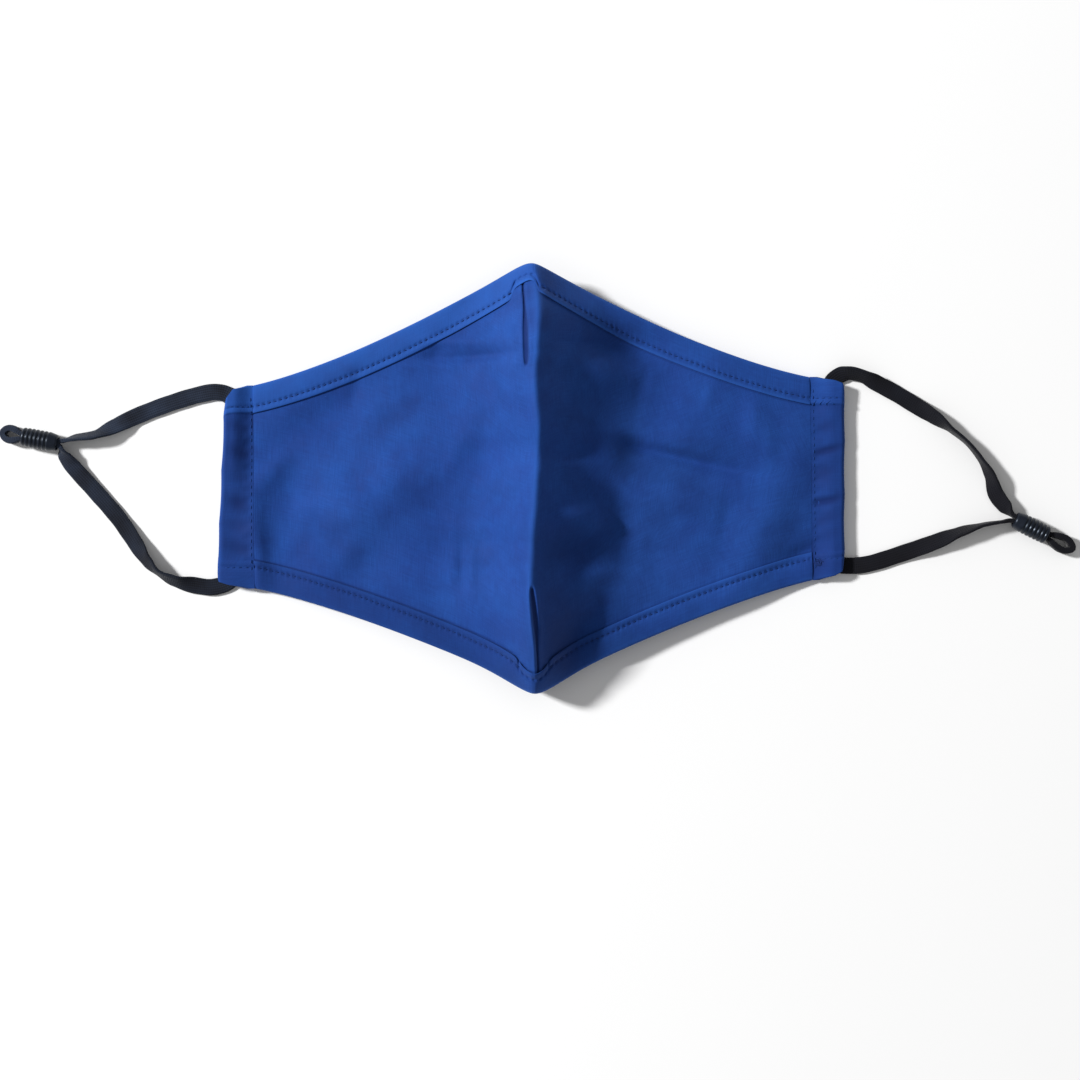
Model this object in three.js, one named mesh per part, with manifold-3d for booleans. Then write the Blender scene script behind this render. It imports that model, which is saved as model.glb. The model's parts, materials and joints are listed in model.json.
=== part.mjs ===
// A sewn cloth face mask with a centre crease, lying face up on a table with its ear loops spread out.
// Millimetres, +Z up, the nose edge towards +Y. The origin is the middle of the footprint, on the table.

import * as THREE from "three";
import { mergeVertices } from "three/addons/utils/BufferGeometryUtils.js";
import Module from "manifold-3d";

const wasm = await Module();
wasm.setup();

// Outline of the sewn body, seen from above
const bodyHalfWidth = 112; // centre crease to the outer fold of a side channel
const sideHalfHeight = 34.6; // middle of a side to its corner
const noseReach = 76.9; // middle of the mask to the nose edge
const chinReach = 75.1; // middle of the mask to the chin edge
const noseCurve = 1.46; // power of the hollow curve from the nose to a corner
const chinCurve = 1.34; // power of the hollow curve from the chin to a corner
const noseRound = 4; // softens the point of the nose edge
const chinRound = 3.4; // softens the point of the chin edge
const chinBulge = 2.4; // fullness that the chin dart gives the tip
const chinBulgeWidth = 14;

// Relief of the body above the table
const creaseHeight = 32; // crest of the crease between the two darts
const noseHeight = 15; // crest of the crease at the nose edge
const chinHeight = 13; // crest of the crease at the chin edge
const creaseRound = 1.2; // softness of the pressed fold
const creaseShift = 1.8; // the pressed fold lies this far right of the middle
const crestFall = 1.5; // power of the crest's fall from a dart's end to its edge
const steepWidth = 36; // width of the steep slope beside the crease, between the darts
const steepCurve = 1.8; // power of the steep slope
const lowSlopeShare = 0.45; // share of the height that the wide low slope gives
const lowSlopeCurve = 1.3; // power of the wide low slope

// Cloth
const panelWall = 1.2; // the face panel's layers together
const bindingWall = 1; // the strip folded over the nose and chin edges
const bindingWidth = 9.8; // fold to lip on the face side
const bindingBackWidth = 8.4; // fold to lip behind
const noseNotch = 3.1; // how much narrower the strip is where it meets the nose dart
const chinNotch = 2.2; // how much narrower the strip is where it meets the chin dart
const notchWidth = 5.5; // half width of both narrowings
const fitGap = 0.3; // between two pieces that touch
const tableGap = 0.2; // under the strips at the sides

// Darts, both just beside the crease
const dartLength = 29;
const dartWidth = 1.3;
const dartDepth = 0.9;
const dartOffset = 4.3; // from the crease, towards the left
const dartWidest = 0.72; // share of its length from the edge to its widest place

// Side channels for the elastic
const channelWidth = 12;
const channelWall = 1;
const channelSlack = 0.35; // above and below the elastic
const channelPinch = 2.4; // sewn flat this far from the stitch line
const mouthDepth = 7; // the back layer stops this far short of the front layer's ends
const hemStep = 0.5; // rise where the folded strip crosses the channel's ends
const channelHemWidth = 9.8; // corner to that step
const foldRound = 1.7; // radius of the outer fold

// Elastic ear loops
const strapWidth = 6;
const strapThickness = 1.3;
const strandWidth = 3; // gathered inside the lock, standing on edge
const strandThickness = 1.7;
const endLoopThickness = 2.4; // rolled together in the small loop beyond the lock
const endLoopStanding = 3.6;
const strapStep = 3.2; // between the sections of the elastic
const leftReach = 57.8; // outer fold to the near end of the left lock
const rightReach = 60.4; // outer fold to the near end of the right lock
const leftEndLoop = 8.6;
const rightEndLoop = 11.6;
const endLoopHalfWidth = 2.2; // to the middle of the elastic

// Ribbed locks on the elastic
const lockLength = 13;
const lockRadius = 3.5;
const lockCollar = 3.9; // smooth length at the near end
const lockCollarRadius = 2.9;
const lockRibs = 6;
const lockGroove = 0.45;
const boreClearance = 0.3;
const boreRound = 0.8;

// Mesh steps
const halfStations = 16;
const panelRows = 20;
const bindingRows = 3;

// Worked-out places
const dartPlace = creaseShift - dartOffset;
const panelHalfWidth = bodyHalfWidth - channelWidth - fitGap;
const panelBottomAtSide = tableGap + bindingWall + fitGap;
const panelTopAtSide = panelBottomAtSide + panelWall;
const channelHeight = 2 * channelWall + 2 * channelSlack + strapThickness;
const tunnelWidth = channelWidth - channelPinch - channelWall;
const tunnelHeight = channelHeight - 2 * channelWall;
const tunnelMiddle = bodyHalfWidth - channelWall - tunnelWidth / 2;
const mouthHalfHeight = sideHalfHeight - mouthDepth;
const strapInChannel = channelHeight / 2;
const strandOffset = (strandThickness + fitGap) / 2;
const mouthStation = 1.05; // share of mouthHalfHeight where the elastic leaves the tunnel's level
const boreHalfWidth = strandThickness + fitGap / 2 + boreClearance;
const boreHalfHeight = strandWidth / 2 + boreClearance;

const noseEdge = {
  side: 1,
  reach: noseReach,
  curve: noseCurve,
  round: noseRound,
  bulge: 0,
  notch: noseNotch,
  height: noseHeight,
};
const chinEdge = {
  side: -1,
  reach: chinReach,
  curve: chinCurve,
  round: chinRound,
  bulge: chinBulge,
  notch: chinNotch,
  height: chinHeight,
};

// Soft dents and swellings of the face. across and along are the centre's shares of the half width and of the
// reach to the nose or chin edge, wide and long are its spread in the same shares, rise is a share of creaseHeight.
const dents = [
  { across: -0.2, along: 0.56, wide: 0.17, long: 0.05, rise: -0.022 },
  { across: -0.42, along: 0.18, wide: 0.1, long: 0.3, rise: 0.025 },
  { across: -0.36, along: -0.34, wide: 0.11, long: 0.22, rise: -0.03 },
  { across: -0.62, along: -0.2, wide: 0.1, long: 0.26, rise: 0.03 },
  { across: -0.78, along: 0.16, wide: 0.08, long: 0.24, rise: -0.018 },
  { across: 0.3, along: 0.2, wide: 0.07, long: 0.11, rise: 0.05 },
  { across: 0.26, along: -0.3, wide: 0.07, long: 0.13, rise: 0.045 },
  { across: 0.44, along: -0.02, wide: 0.1, long: 0.2, rise: -0.028 },
  { across: 0.6, along: 0.14, wide: 0.16, long: 0.07, rise: -0.02 },
  { across: 0.7, along: -0.28, wide: 0.12, long: 0.16, rise: 0.022 },
];

// Puckers of a channel beside its stitch line: along is a share of sideHalfHeight, dip a share of channelHeight.
const puckers = [
  { along: -0.42, long: 0.07, dip: 0.12 },
  { along: -0.08, long: 0.1, dip: 0.08 },
  { along: 0.3, long: 0.08, dip: 0.14 },
  { along: 0.56, long: 0.07, dip: 0.07 },
];

// Legs of the elastic on the table, from a corner of the body to the lock. out is a share of the reach to the
// lock, up a share of sideHalfHeight, turn is how far the band stands on its edge, in degrees.
const leftSide = {
  sign: -1,
  reach: leftReach,
  endLoop: leftEndLoop,
  lockUp: 0.48,
  lockTilt: 11.5,
  upper: [
    { out: -0.052, up: 0.955, turn: 0 },
    { out: 0.022, up: 0.991, turn: 0 },
    { out: 0.123, up: 0.968, turn: 0 },
    { out: 0.323, up: 0.873, turn: 0 },
    { out: 0.524, up: 0.749, turn: 0 },
    { out: 0.657, up: 0.645, turn: 25 },
    { out: 0.775, up: 0.562, turn: 70 },
    { out: 0.891, up: 0.536, turn: 90 },
  ],
  lower: [
    { out: 0.962, up: 0.335, turn: 50 },
    { out: 0.903, up: 0.205, turn: 12 },
    { out: 0.782, up: -0.026, turn: 0 },
    { out: 0.635, up: -0.321, turn: 0 },
    { out: 0.538, up: -0.564, turn: 15 },
    { out: 0.465, up: -0.751, turn: 45 },
    { out: 0.393, up: -0.876, turn: 70 },
    { out: 0.294, up: -0.965, turn: 50 },
    { out: 0.17, up: -1.014, turn: 10 },
    { out: 0.06, up: -1.035, turn: 0 },
    { out: -0.045, up: -0.975, turn: 0 },
  ],
};
const rightSide = {
  sign: 1,
  reach: rightReach,
  endLoop: rightEndLoop,
  lockUp: -0.457,
  lockTilt: -27.6,
  upper: [
    { out: -0.066, up: 0.99, turn: 0 },
    { out: -0.018, up: 1.065, turn: 10 },
    { out: 0.033, up: 1.082, turn: 45 },
    { out: 0.121, up: 1.043, turn: 50 },
    { out: 0.215, up: 0.962, turn: 15 },
    { out: 0.31, up: 0.873, turn: 0 },
    { out: 0.43, up: 0.74, turn: 5 },
    { out: 0.53, up: 0.618, turn: 45 },
    { out: 0.639, up: 0.471, turn: 85 },
    { out: 0.733, up: 0.332, turn: 90 },
    { out: 0.805, up: 0.17, turn: 80 },
    { out: 0.861, up: -0.006, turn: 60 },
    { out: 0.897, up: -0.197, turn: 35 },
    { out: 0.946, up: -0.322, turn: 50 },
  ],
  lower: [
    { out: 0.927, up: -0.483, turn: 90 },
    { out: 0.82, up: -0.509, turn: 85 },
    { out: 0.675, up: -0.581, turn: 60 },
    { out: 0.53, up: -0.682, turn: 25 },
    { out: 0.339, up: -0.795, turn: 0 },
    { out: 0.149, up: -0.893, turn: 0 },
    { out: 0.053, up: -0.915, turn: 0 },
    { out: -0.04, up: -0.9, turn: 0 },
  ],
};

// The small loop beyond a lock: beyond is a share of its length, aside of its half width.
const endLoopRows = [
  { beyond: 0.34, aside: 0.78 },
  { beyond: 0.62, aside: 1 },
  { beyond: 0.85, aside: 0.72 },
];

// The body's reach from its middle line to an edge, at x: a hollow curve with a softened point.
function edgeReach(x, edge) {
  const soft = Math.hypot(x, edge.round);
  const fall = (distance) => Math.pow(Math.max(0, 1 - distance / bodyHalfWidth), edge.curve);
  const bulge = edge.bulge * Math.exp(-((x / chinBulgeWidth) ** 2));
  const rise = edge.reach - sideHalfHeight - edge.bulge;
  return sideHalfHeight + (rise * fall(soft)) / fall(edge.round) + bulge;
}

// How much longer a step square to the edge is when it is taken along Y.
function edgeStretch(x, edge) {
  const step = 0.5;
  const slope = (edgeReach(Math.abs(x) + step, edge) - edgeReach(Math.abs(x), edge)) / step;
  return Math.hypot(1, slope);
}

// The crest of the crease at y: level between the darts' ends, then falling to the nose or chin edge.
function crestHeight(y) {
  const edge = y > 0 ? noseEdge : chinEdge;
  const level = edge.reach - bindingWidth + noseNotch - dartLength;
  const share = Math.min(1, Math.max(0, (Math.abs(y) - level) / (edge.reach - level)));
  return creaseHeight - (creaseHeight - edge.height) * Math.pow(share, crestFall);
}

// The face panel's width from the crease to the side that x is on.
function sideWidth(x) {
  return panelHalfWidth - Math.sign(x - creaseShift) * creaseShift;
}

function dentHeight(x, y) {
  const reach = y > 0 ? noseReach : chinReach;
  const sideFade = Math.min(1, (1 - Math.min(1, Math.abs(x) / panelHalfWidth)) / 0.15);
  let rise = 0;
  for (const dent of dents) {
    const across = (x / panelHalfWidth - dent.across) / dent.wide;
    const along = (y / reach - dent.along) / dent.long;
    rise += dent.rise * creaseHeight * Math.exp(-across * across - along * along);
  }
  return rise * sideFade;
}

// The panel's outer face: nearly flat at the sides, a wide low slope, and a steep slope up to the crease.
function faceHeight(x, y) {
  const crest = crestHeight(y) - panelTopAtSide;
  const away = Math.hypot(x - creaseShift, creaseRound) - creaseRound;
  const share = Math.min(1, away / sideWidth(x));
  const steepReach = (steepWidth * crest) / (creaseHeight - panelTopAtSide);
  const low = lowSlopeShare * Math.pow(1 - share, lowSlopeCurve);
  const steep = (1 - lowSlopeShare) * Math.pow(Math.max(0, 1 - away / steepReach), steepCurve);
  return panelTopAtSide + crest * (low + steep) + dentHeight(x, y);
}

// How much taller an upright wall thickness is than the same one square to the face.
function slantAt(x, y) {
  const step = 0.8;
  const away = x - creaseShift;
  const out = creaseShift + away + (away < 0 ? -2 : 2) * step;
  const overX = (faceHeight(out + step, y) - faceHeight(out, y)) / step;
  const overY = (faceHeight(x, y + step) - faceHeight(x, y - step)) / (2 * step);
  return Math.hypot(1, overX, overY);
}

// Across the body from left to right, closer together at the crease.
function stations() {
  const shares = [];
  for (let i = -halfStations; i <= halfStations; i++) {
    shares.push(Math.sign(i) * Math.pow(Math.abs(i) / halfStations, 1.5));
  }
  return shares.map((share) => creaseShift + share * sideWidth(creaseShift + share));
}

// One closed surface through rings that have equal numbers of points. A "strip" cap joins a ring's first half to
// its second, a "fan" cap spreads from its first point, and a loft without caps closes on its own first ring.
function loft(rings, cap) {
  const count = rings[0].length;
  const points = rings.flat();
  const faces = [];
  const spans = cap ? rings.length - 1 : rings.length;
  for (let i = 0; i < spans; i++) {
    const here = i * count;
    const next = ((i + 1) % rings.length) * count;
    for (let j = 0; j < count; j++) {
      const k = (j + 1) % count;
      faces.push([here + j, here + k, next + k], [here + j, next + k, next + j]);
    }
  }
  if (cap) {
    const last = (rings.length - 1) * count;
    for (const [a, b, c] of cap === "fan" ? fanFaces(count) : stripFaces(count)) {
      faces.push([a, c, b], [last + a, last + b, last + c]);
    }
  }
  const geometry = new THREE.BufferGeometry().setFromPoints(points);
  geometry.setIndex(isInsideOut(points, faces) ? faces.map(([a, b, c]) => [a, c, b]).flat() : faces.flat());
  return geometry;
}

function fanFaces(count) {
  return Array.from({ length: count - 2 }, (_, i) => [0, i + 1, i + 2]);
}

function stripFaces(count) {
  const faces = [];
  for (let i = 0; i < count / 2 - 1; i++) {
    const across = count - 1 - i;
    faces.push([i, i + 1, across - 1], [i, across - 1, across]);
  }
  return faces;
}

function isInsideOut(points, faces) {
  let volume = 0;
  const cross = new THREE.Vector3();
  for (const [a, b, c] of faces) {
    volume += cross.crossVectors(points[b], points[c]).dot(points[a]);
  }
  return volume < 0;
}

function solidOf(geometry) {
  const bare = geometry.clone();
  bare.deleteAttribute("normal");
  bare.deleteAttribute("uv");
  const merged = mergeVertices(bare, 1e-4);
  return new wasm.Manifold(
    new wasm.Mesh({
      numProp: 3,
      vertProperties: merged.attributes.position.array,
      triVerts: new Uint32Array(merged.index.array),
    }),
  );
}

function geometryOf(solid) {
  const mesh = solid.getMesh();
  const geometry = new THREE.BufferGeometry();
  geometry.setAttribute("position", new THREE.BufferAttribute(mesh.vertProperties, 3));
  geometry.setIndex(new THREE.BufferAttribute(mesh.triVerts, 1));
  return geometry;
}

function placedSolid(geometry, x, y, z) {
  return solidOf(geometry.clone().translate(x, y, z));
}

// Rows of the panel at x, from the chin edge to the nose edge, with rows of their own under both strips.
function panelRowsAt(x) {
  const ends = [chinEdge, noseEdge].map((edge) => {
    const stretch = edgeStretch(x, edge);
    const outer = edgeReach(x, edge) - (bindingWall + fitGap) * stretch;
    return { outer: edge.side * outer, lip: edge.side * (edgeReach(x, edge) - bindingWidth * stretch) };
  });
  const rows = [];
  for (let i = 0; i < bindingRows; i++) {
    rows.push(THREE.MathUtils.lerp(ends[0].outer, ends[0].lip, i / bindingRows));
  }
  for (let i = 0; i <= panelRows; i++) {
    rows.push(THREE.MathUtils.lerp(ends[0].lip, ends[1].lip, i / panelRows));
  }
  for (let i = 1; i <= bindingRows; i++) {
    rows.push(THREE.MathUtils.lerp(ends[1].lip, ends[1].outer, i / bindingRows));
  }
  return rows;
}

// The face panel as one wall of even thickness, hollow behind.
function panelShell() {
  const rings = stations().map((x) => {
    const rows = panelRowsAt(x);
    const face = rows.map((y) => new THREE.Vector3(x, y, faceHeight(x, y)));
    const back = rows.map((y) => new THREE.Vector3(x, y, faceHeight(x, y) - panelWall * slantAt(x, y)));
    return [...face, ...back.reverse()];
  });
  return loft(rings, "strip");
}

// The cutter for a dart: a thin wedge that follows the face beside the crease.
function dartCutter(edge) {
  const steps = 10;
  const start = edge.reach - bindingWidth + edge.notch;
  const rings = [];
  for (let i = 0; i <= steps; i++) {
    const share = i / steps;
    const y = edge.side * (start + 1 - share * (dartLength + 1));
    const before = Math.min(1, share / dartWidest);
    const after = Math.max(0, (share - dartWidest) / (1 - dartWidest));
    const half = 0.08 + (dartWidth / 2) * Math.sin((Math.PI / 2) * before) * Math.cos((Math.PI / 2) * after);
    const floor = faceHeight(dartPlace, y) - dartDepth;
    const above = creaseHeight;
    rings.push([
      new THREE.Vector3(dartPlace - half, y, faceHeight(dartPlace, y) + above),
      new THREE.Vector3(dartPlace - half, y, faceHeight(dartPlace, y) - dartDepth / 2),
      new THREE.Vector3(dartPlace, y, floor),
      new THREE.Vector3(dartPlace + half, y, faceHeight(dartPlace, y) - dartDepth / 2),
      new THREE.Vector3(dartPlace + half, y, faceHeight(dartPlace, y) + above),
    ]);
  }
  return loft(rings, "fan");
}

function facePanel() {
  const shell = solidOf(panelShell());
  return geometryOf(shell.subtract(solidOf(dartCutter(noseEdge))).subtract(solidOf(dartCutter(chinEdge))));
}

// A strip folded over the nose or chin edge: a face leg, the fold, and a back leg, with the panel between.
function binding(edge) {
  const rings = stations().map((x) => {
    const stretch = edgeStretch(x, edge);
    const narrowing = edge.notch * Math.exp(-(((x - (creaseShift + dartPlace) / 2) / notchWidth) ** 4));
    const faceWidth = bindingWidth - narrowing;
    const at = (inward, depth) => {
      const y = edge.side * (edgeReach(x, edge) - inward * stretch);
      return new THREE.Vector3(x, y, faceHeight(x, y) + depth * slantAt(x, y));
    };
    const outside = fitGap + bindingWall;
    const behind = -panelWall - fitGap;
    const shares = [0, 1 / 3, 2 / 3, 1];
    const leg = (width, depth) =>
      shares.map((share) => at(THREE.MathUtils.lerp(bindingWall, width, share), depth));
    const fold = (inward, top, bottom) =>
      [1 / 3, 2 / 3].map((share) => at(inward, THREE.MathUtils.lerp(top, bottom, share)));
    return [
      ...leg(faceWidth, outside).reverse(),
      ...fold(0, outside, behind - bindingWall),
      ...leg(bindingBackWidth, behind - bindingWall),
      ...leg(bindingBackWidth, behind).reverse(),
      ...fold(bindingWall, behind, fitGap),
      ...leg(faceWidth, fitGap),
    ];
  });
  return loft(rings, "strip");
}

// A side channel's section at y, from the stitch line outwards: sewn flat, a low tunnel, and the outer fold.
function channelSection(y) {
  const hem = Math.abs(y) > sideHalfHeight - channelHemWidth ? hemStep : 0;
  let dip = 0;
  for (const pucker of puckers) {
    dip += pucker.dip * channelHeight * Math.exp(-(((y / sideHalfHeight - pucker.along) / pucker.long) ** 2));
  }
  const top = channelHeight + hem;
  const arc = [-60, -30, 0, 30, 60].map((degrees) => {
    const angle = THREE.MathUtils.degToRad(degrees);
    return [channelWidth - foldRound + foldRound * Math.cos(angle), (top / 2) * (1 + Math.sin(angle))];
  });
  return [
    [channelWidth - foldRound, 0],
    ...arc,
    [channelWidth - foldRound, top],
    [channelPinch + 1, top],
    [channelPinch / 2, panelTopAtSide + fitGap + hem - dip],
    [0, panelTopAtSide + hem - dip / 2],
    [0, 0],
  ];
}

function sideChannel() {
  const inner = bodyHalfWidth - channelWidth;
  const step = sideHalfHeight - channelHemWidth;
  const rows = [-sideHalfHeight, -step - 0.01, -step];
  const spans = 12;
  for (let i = 1; i < spans; i++) {
    rows.push(THREE.MathUtils.lerp(-step, step, i / spans));
  }
  rows.push(step, step + 0.01, sideHalfHeight);
  const outer = solidOf(
    loft(
      rows.map((y) => channelSection(y).map(([u, z]) => new THREE.Vector3(inner + u, y, z))),
      "fan",
    ),
  );
  const tunnel = placedSolid(
    new THREE.BoxGeometry(tunnelWidth, 2 * sideHalfHeight + 2, tunnelHeight),
    tunnelMiddle,
    0,
    channelHeight / 2,
  );
  const mouthWidth = channelWidth - channelPinch + 1;
  const mouthHeight = channelHeight - channelWall + 1;
  const mouth = new THREE.BoxGeometry(mouthWidth, mouthDepth + 1, mouthHeight);
  const mouths = [-1, 1].map((side) =>
    placedSolid(
      mouth,
      inner + channelPinch + mouthWidth / 2,
      side * (mouthHalfHeight + (mouthDepth + 1) / 2),
      channelHeight - channelWall - mouthHeight / 2,
    ),
  );
  return geometryOf(outer.subtract(tunnel).subtract(mouths[0]).subtract(mouths[1]));
}

// Where a lock lies: its near end, the way it points, and the side its upper strand runs on.
function lockPlace(side) {
  const tilt = THREE.MathUtils.degToRad(side.lockTilt);
  const along = new THREE.Vector3(side.sign * Math.cos(tilt), Math.sin(tilt), 0);
  const near = new THREE.Vector3(
    side.sign * (bodyHalfWidth + side.reach),
    side.lockUp * sideHalfHeight,
    lockRadius,
  );
  const upper = new THREE.Vector3(0, 0, side.sign).cross(along);
  return { near, along, upper };
}

// The stations of an ear loop, once round: up the channel, out along the upper leg, through the lock, round the
// small end loop, back through the lock and down the lower leg.
function earLoopStations(side) {
  const place = lockPlace(side);
  const inChannel = (share) => ({
    point: new THREE.Vector3(side.sign * tunnelMiddle, share * mouthHalfHeight, strapInChannel),
    turn: 0,
    width: strapWidth,
    thickness: strapThickness,
  });
  const onTable = (row) => {
    const turn = THREE.MathUtils.degToRad(row.turn);
    const rest = tableGap + (Math.sin(turn) * strapWidth + Math.cos(turn) * strapThickness) / 2;
    const x = side.sign * (bodyHalfWidth + row.out * side.reach);
    return {
      point: new THREE.Vector3(x, row.up * sideHalfHeight, rest),
      turn,
      width: strapWidth,
      thickness: strapThickness,
    };
  };
  const inLock = (distance, aside) => ({
    point: place.near.clone().addScaledVector(place.along, distance).addScaledVector(place.upper, aside),
    turn: Math.PI / 2,
    width: strandWidth,
    thickness: strandThickness,
  });
  const inEndLoop = (row, way) => {
    const straight = side.endLoop - endLoopThickness / 2;
    const distance = lockLength + row.beyond * straight;
    const station = inLock(distance, way * row.aside * endLoopHalfWidth);
    station.point.z = THREE.MathUtils.lerp(lockRadius, endLoopStanding / 2 + tableGap, row.beyond);
    station.width = endLoopStanding;
    station.thickness = endLoopThickness;
    return station;
  };
  const through = [-0.6, lockLength / 2, lockLength + 0.6];
  return [
    ...[-mouthStation, -0.5, 0, 0.5, mouthStation].map(inChannel),
    ...side.upper.map(onTable),
    ...through.map((distance) => inLock(distance, strandOffset)),
    ...endLoopRows.map((row) => inEndLoop(row, 1)),
    inEndLoop({ beyond: 1, aside: 0 }, 1),
    ...endLoopRows.toReversed().map((row) => inEndLoop(row, -1)),
    ...through.toReversed().map((distance) => inLock(distance, -strandOffset)),
    ...side.lower.map(onTable),
  ];
}

// A flat band with eased corners, swept round its closed route and turned on its edge where the stations say.
function earLoop(side) {
  const rows = earLoopStations(side);
  const route = new THREE.CatmullRomCurve3(
    rows.map((row) => row.point),
    true,
    "centripetal",
  );
  const rings = [];
  rows.forEach((row, i) => {
    const next = rows[(i + 1) % rows.length];
    const steps = Math.max(1, Math.round(row.point.distanceTo(next.point) / strapStep));
    for (let j = 0; j < steps; j++) {
      const share = j / steps;
      const at = (i + share) / rows.length;
      const forward = route.getTangent(at);
      const level = new THREE.Vector3(0, 0, 1).cross(forward).normalize();
      const up = forward.clone().cross(level);
      const turn = THREE.MathUtils.lerp(row.turn, next.turn, share);
      const across = level.multiplyScalar(Math.cos(turn)).addScaledVector(up, Math.sin(turn));
      const through = forward.clone().cross(across);
      const halfWidth = THREE.MathUtils.lerp(row.width, next.width, share) / 2;
      const halfThickness = THREE.MathUtils.lerp(row.thickness, next.thickness, share) / 2;
      const eased = 0.6 * halfThickness;
      const middle = route.getPoint(at);
      rings.push(
        [
          [halfWidth, eased - halfThickness],
          [halfWidth, halfThickness - eased],
          [halfWidth - eased, halfThickness],
          [eased - halfWidth, halfThickness],
          [-halfWidth, halfThickness - eased],
          [-halfWidth, eased - halfThickness],
          [eased - halfWidth, -halfThickness],
          [halfWidth - eased, -halfThickness],
        ].map(([a, b]) => middle.clone().addScaledVector(across, a).addScaledVector(through, b)),
      );
    }
  });
  return loft(rings);
}

// A ribbed barrel with a smooth collar at its near end and an oval bore for the two strands, along +Y from 0.
function cordLock() {
  const pitch = (lockLength - lockCollar) / lockRibs;
  const profile = [
    [0, 0],
    [lockCollarRadius - lockGroove, 0],
    [lockCollarRadius, 0.6],
    [lockRadius - lockGroove / 2, lockCollar - 0.4],
  ];
  for (let i = 0; i < lockRibs; i++) {
    const start = lockCollar + i * pitch;
    profile.push(
      [lockRadius - lockGroove, start],
      [lockRadius, start + 0.3 * pitch],
      [lockRadius, start + 0.7 * pitch],
    );
  }
  profile.push([lockRadius - 2 * lockGroove, lockLength], [0, lockLength]);
  const barrel = new THREE.LatheGeometry(
    profile.map(([radius, along]) => new THREE.Vector2(radius, along)),
    16,
  );
  const bore = new THREE.Shape();
  const a = boreHalfWidth - boreRound;
  const b = boreHalfHeight - boreRound;
  bore.absarc(a, b, boreRound, 0, Math.PI / 2);
  bore.absarc(-a, b, boreRound, Math.PI / 2, Math.PI);
  bore.absarc(-a, -b, boreRound, Math.PI, 1.5 * Math.PI);
  bore.absarc(a, -b, boreRound, 1.5 * Math.PI, 2 * Math.PI);
  const drill = new THREE.ExtrudeGeometry(bore, { depth: lockLength + 2, bevelEnabled: false, curveSegments: 3 });
  drill.rotateX(-Math.PI / 2).translate(0, -1, 0);
  return geometryOf(solidOf(barrel).subtract(solidOf(drill)));
}

const clothBlue = 0x294a98;
const elasticBlack = 0x1d1e25;
const rubberBlack = 0x14161b;

function piece(name, geometry, color, roughness) {
  geometry.computeVertexNormals();
  const mesh = new THREE.Mesh(geometry, new THREE.MeshStandardMaterial({ color, roughness, metalness: 0 }));
  mesh.name = name;
  return mesh;
}

function sewnBody() {
  const group = new THREE.Group();
  group.add(piece("face_panel", facePanel(), clothBlue, 0.85));
  group.add(piece("nose_binding", binding(noseEdge), clothBlue, 0.85));
  group.add(piece("chin_binding", binding(chinEdge), clothBlue, 0.85));
  const right = piece("side_channel_right", sideChannel(), clothBlue, 0.85);
  const left = piece("side_channel_left", sideChannel(), clothBlue, 0.85);
  left.rotation.z = Math.PI;
  group.add(left, right);
  return group;
}

function earLoopWithLock(name, side) {
  const group = new THREE.Group();
  group.add(piece(`ear_loop_${name}`, earLoop(side), elasticBlack, 0.9));
  const lock = piece(`cord_lock_${name}`, cordLock(), rubberBlack, 0.45);
  const place = lockPlace(side);
  lock.position.copy(place.near);
  lock.quaternion.setFromUnitVectors(new THREE.Vector3(0, 1, 0), place.along);
  group.add(lock);
  return group;
}

const mask = new THREE.Group();
mask.add(sewnBody(), earLoopWithLock("left", leftSide), earLoopWithLock("right", rightSide));

// The origin: the middle of the footprint, on the table.
const bounds = new THREE.Box3().setFromObject(mask, true);
const middle = bounds.getCenter(new THREE.Vector3());
mask.position.set(-middle.x, -middle.y, -bounds.min.z);

export default mask;
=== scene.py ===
"""A sewn cloth face mask with a pressed centre crease. It lies face up on a pale table, with its ear loops
spread out."""

import json
import math

import bpy
import numpy as np
from bpy.props import FloatProperty, FloatVectorProperty, IntProperty, PointerProperty
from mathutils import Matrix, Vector

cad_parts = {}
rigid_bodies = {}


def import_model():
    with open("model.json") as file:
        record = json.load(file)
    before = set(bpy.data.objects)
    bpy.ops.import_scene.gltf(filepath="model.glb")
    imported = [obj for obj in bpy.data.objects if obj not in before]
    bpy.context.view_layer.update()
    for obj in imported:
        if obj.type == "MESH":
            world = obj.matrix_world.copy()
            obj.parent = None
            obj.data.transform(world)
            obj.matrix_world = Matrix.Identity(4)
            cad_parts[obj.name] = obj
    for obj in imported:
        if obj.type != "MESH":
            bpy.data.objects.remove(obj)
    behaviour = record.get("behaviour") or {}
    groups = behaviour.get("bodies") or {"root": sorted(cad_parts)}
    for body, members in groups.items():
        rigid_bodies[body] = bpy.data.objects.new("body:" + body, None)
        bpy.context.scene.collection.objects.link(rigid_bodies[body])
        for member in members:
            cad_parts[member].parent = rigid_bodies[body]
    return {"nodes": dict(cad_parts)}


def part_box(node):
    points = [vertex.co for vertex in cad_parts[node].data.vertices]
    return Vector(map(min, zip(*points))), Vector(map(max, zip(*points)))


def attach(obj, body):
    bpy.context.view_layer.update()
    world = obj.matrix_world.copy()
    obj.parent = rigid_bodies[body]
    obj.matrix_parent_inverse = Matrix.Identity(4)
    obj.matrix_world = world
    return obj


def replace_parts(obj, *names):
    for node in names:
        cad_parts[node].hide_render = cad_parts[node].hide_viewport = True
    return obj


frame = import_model()

bl_info = {
    "name": "Cloth face mask",
    "version": (1, 0, 0),
    "blender": (4, 5, 0),
    "location": "View3D > Sidebar > Face mask",
    "description": "Builds a sewn cloth face mask with elastic ear loops and ribbed cord locks",
    "category": "Object",
}

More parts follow.
